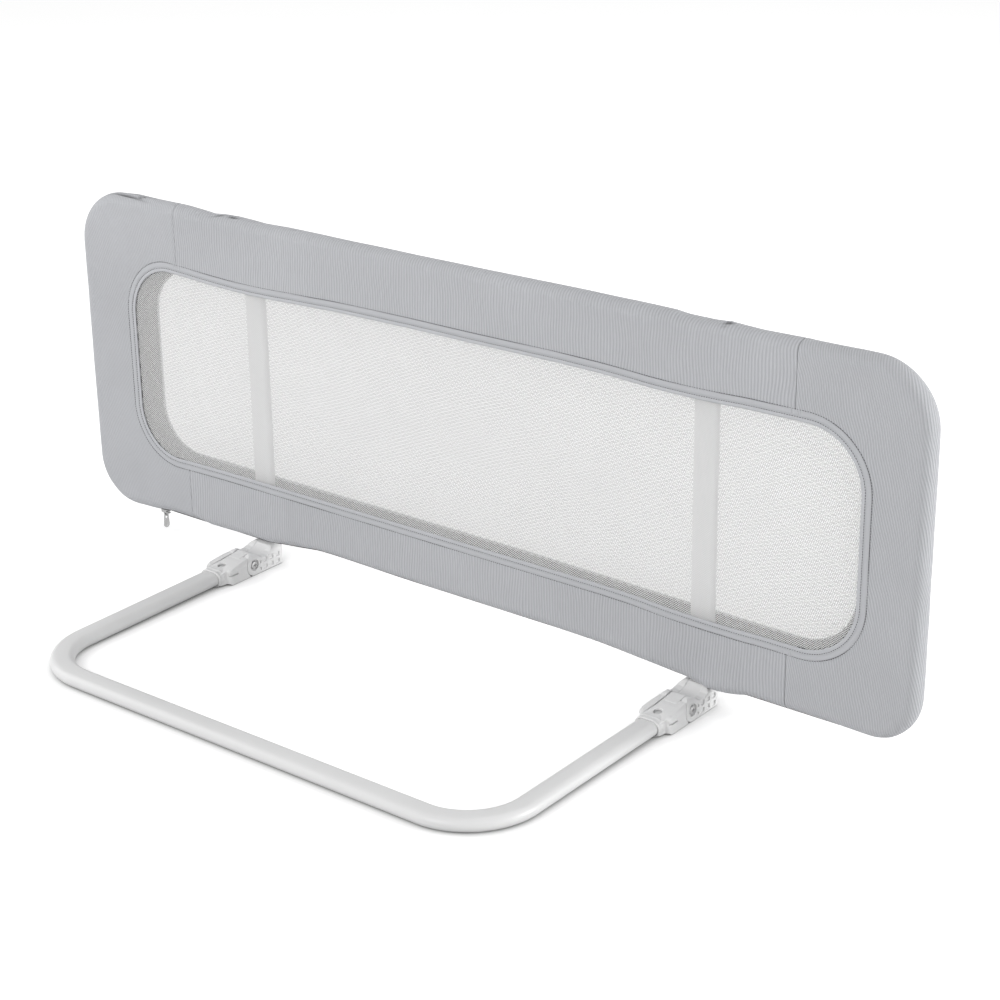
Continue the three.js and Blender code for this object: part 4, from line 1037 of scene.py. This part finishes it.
def zip_tape():
    """The tape in the gap between the cover's bottom pieces, and the teeth along it."""
    inner = RIM - 0.5
    turns = np.radians(np.linspace(ZIP_EDGES[0] - 0.2, ZIP_EDGES[1] + 0.2, 9))
    xs = np.linspace(-ZIP_HALF, ZIP_HALF, 160)
    grid = np.array([np.c_[xs, np.full(len(xs), inner * math.sin(a)), RIM_LOW + bottom_rise(xs) - inner * math.cos(a)]
                     for a in turns])
    pattern = np.array([np.c_[xs, np.full(len(xs), a * RIM)] for a in turns])
    tape = skinned("zip_tape_cloth", grid, pattern)
    tape.data.flip_normals()
    wall = tape.modifiers.new("tape", "SOLIDIFY")
    wall.thickness, wall.offset = 0.0006, -1
    dressed(settled(tape), "zip tape", "guard_panel", "zip_tape", "zip_tape")
    xs = np.linspace(SLIDER_X + 8, ZIP_HALF - 2, 120)
    low = RIM_LOW + bottom_rise(xs) - math.sqrt(RIM ** 2 - ZIP_LINE ** 2) + 0.3
    spots = np.c_[xs, np.full(len(xs), ZIP_LINE), low]
    teeth = stitched("zip_teeth", spots, "zip tape", False, 1.8, 1.2, 1.3, 3.0)
    dressed(teeth, "zip tape", "guard_panel", "zip_tape")


def zip_slider():
    """The slider's body with its channel, and the bail under it."""
    half = SLIDER_HALF
    outline = [(-7, -half + 1), (-6, -half), (1, -half), (3, -half + 0.5), (7, -half + 0.5)]
    outline = np.array(outline + [(x, -y) for x, y in reversed(outline)]) + (SLIDER_X, ZIP_LINE)
    bail = [(-3.7, 0.6), (-3.7, -3), (-2.2, -4.5), (2.2, -4.5), (3.7, -3), (3.7, 0.6)]
    body = prism(outline, 2, SLIDER_LOW, SLIDER_TOP)
    cut(body, [slab(0, SLIDER_X - 8, SLIDER_X + 8, (ZIP_LINE - 1.9, ZIP_LINE + 1.9),
                    (SLIDER_LOW + 1.3, SLIDER_TOP - 1.2))])
    cut(body, [prism(np.array(bail) + (SLIDER_X, SLIDER_LOW), 1, ZIP_LINE - 1, ZIP_LINE + 1)], "UNION")
    cut(body, [slab(1, ZIP_LINE - 3, ZIP_LINE + 3, (SLIDER_X - 2.2, SLIDER_X + 2.2), (SLIDER_LOW - 3, SLIDER_LOW))])
    body = moulded(body, 0.2, 3)
    body.name = "zip_slider_casting"
    dressed(body, "zip metal", "slider", "zip_metal", "zip_slider")


def zip_puller():
    """The plate that hangs in the bail, with its eye and a dent in its face."""
    top, reach, corner, length = SLIDER_LOW - 0.7, 4.6, 1.6, 20
    low = top - length
    ring = arc((ZIP_LINE, low + reach), reach, 180, 360, 24)
    ring += arc((ZIP_LINE + corner, top - corner), corner, 0, 90, 6)
    ring += arc((ZIP_LINE - corner, top - corner), corner, 90, 180, 6)
    plate = prism(ring, 0, SLIDER_X - 0.8, SLIDER_X + 0.8)
    hole = oval(6.2, 3.8)[:, ::-1] + (ZIP_LINE, top - corner - 3.1)
    dent = oval(7.0, 4.4)[:, ::-1] + (ZIP_LINE, low + 5.6)
    cut(plate, [prism(hole, 0, SLIDER_X - 3, SLIDER_X + 3), prism(dent, 0, SLIDER_X + 0.5, SLIDER_X + 3)])
    plate = moulded(plate, 0.16, 2)
    plate.name = "zip_puller_plate"
    dressed(plate, "zip metal", "puller", "zip_metal", "zip_puller")


# Stage

# Lamps as (name, place, aim, power, size)
LAMPS = (
    ("front", (0.0, -3.6, 2.0), (0, 0, 0.2), 72, 2.6),
    ("right", (3.6, 1.4, 0.9), (0, 0.2, 0.25), 100, 1.8),
    ("left", (-3.0, -1.4, 1.8), (0, 0, 0.2), 44, 2.4),
    ("back", (0.4, 2.8, 2.6), (0, 0, 0.2), 16, 2.6),
)
WORLD_LIGHT = 0.46
# The camera as fitted to the photograph: turn round the object, height angle and roll in degrees
CAMERA_TURNS = (38.55, 21.97, -0.74)
CAMERA_PLACE, FOCAL_LENGTH, SENSOR = (1.55881, -1.69189, 1.14179), 82.78, 36


def unlit_rays(tree):
    """1 for the rays that see the floor or the world straight on or in a gloss, and 0 for its light."""
    path = wired(tree, "ShaderNodeLightPath")
    return reckon(tree, "ADD", path.outputs["Is Camera Ray"], path.outputs["Is Glossy Ray"])


def studio():
    bpy.ops.mesh.primitive_plane_add(size=60)
    floor = bpy.context.object
    floor.name = "studio_floor"
    mat, tree, shader, _ = material("studio white with painted contact shadow")
    shader.inputs["Roughness"].default_value = 0.9
    shader.inputs["Specular IOR Level"].default_value = 0.0
    seen = unlit_rays(tree)
    shader.inputs["Emission Color"].default_value = grey(1)
    # Painted contact shadow: ambient occlusion near the object darkens the floor's colour and its white glow, leaned
    # by a tilted normal so that it falls to the right and towards the front.
    near = wired(tree, "ShaderNodeAmbientOcclusion", samples=8, inputs={
        "Distance": 0.035, "Normal": (-0.4, 0.4, 0.82)})
    clear = reckon(tree, "POWER", near.outputs["AO"], 0.6)
    tree.links.new(mixed(tree, clear, grey(0), grey(0.75)), shader.inputs["Base Color"])
    lift = reckon(tree, "MULTIPLY", clear, 0.56)
    tree.links.new(reckon(tree, "MULTIPLY", seen, lift), shader.inputs["Emission Strength"])
    floor.data.materials.append(mat)
    world = bpy.data.worlds.new("studio")
    bpy.context.scene.world = world
    world.use_nodes = True
    tree = world.node_tree
    strength = reckon(tree, "MULTIPLY_ADD", unlit_rays(tree), 1 - WORLD_LIGHT, WORLD_LIGHT)
    tree.links.new(strength, tree.nodes["Background"].inputs[1])
    tree.nodes["Background"].inputs[0].default_value = grey(1)
    for name, spot, aim, power, size in LAMPS:
        lamp = bpy.data.lights.new(name, "AREA")
        lamp.energy, lamp.size = power, size
        obj = bpy.data.objects.new(name, lamp)
        obj.location = spot
        obj.rotation_euler = (Vector(aim) - Vector(spot)).to_track_quat("-Z", "Y").to_euler()
        bpy.context.scene.collection.objects.link(obj)


def camera():
    around, above, roll = (math.radians(v) for v in CAMERA_TURNS)
    back = Vector((math.sin(around) * math.cos(above), -math.cos(around) * math.cos(above), math.sin(above)))
    level = (-back).cross(Vector((0, 0, 1))).normalized()
    rise = level.cross(-back)
    right = math.cos(roll) * level + math.sin(roll) * rise
    up = -math.sin(roll) * level + math.cos(roll) * rise
    lens = bpy.data.cameras.new("camera")
    lens.lens, lens.sensor_width, lens.clip_end = FOCAL_LENGTH, SENSOR, 100
    cam = bpy.data.objects.new("camera", lens)
    turn = Matrix((right, up, back)).transposed().to_4x4()
    cam.matrix_world = Matrix.Translation(CAMERA_PLACE) @ turn
    bpy.context.scene.collection.objects.link(cam)
    bpy.context.scene.camera = cam


bpy.context.scene.view_settings.view_transform = "Standard"
camera()
studio()
base_loop()
for label, side in SIDES.items():
    tube_connector(label, side)
    hinge_bracket(label, side)
    pivot_bolt(label, side)
    snap_button(label, side)
    post(label, side)
    end_piece(label, side)
top_strip()
bottom_strips()
window(-1, "front", 0.0029, 0.85)
window(1, "back", 0.0023, 2.5)
zip_tape()
zip_slider()
zip_puller()

# The solids that show as they are
KEPT = {"paint": ["top_tube", "left_end_tube", "right_end_tube"],
        "plastic": [f"{label}_{part}" for label in SIDES for part in
                    ("top_connector", "foot_connector", "pivot_washer")],
        "steel": [f"{label}_{part}" for label in SIDES for part in ("pivot_nut", "foot_screw", "head_screw")],
        "spring": [f"{label}_snap_spring" for label in SIDES]}
for look, names in KEPT.items():
    for name in names:
        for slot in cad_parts[name].material_slots:
            slot.material = LOOKS[look]
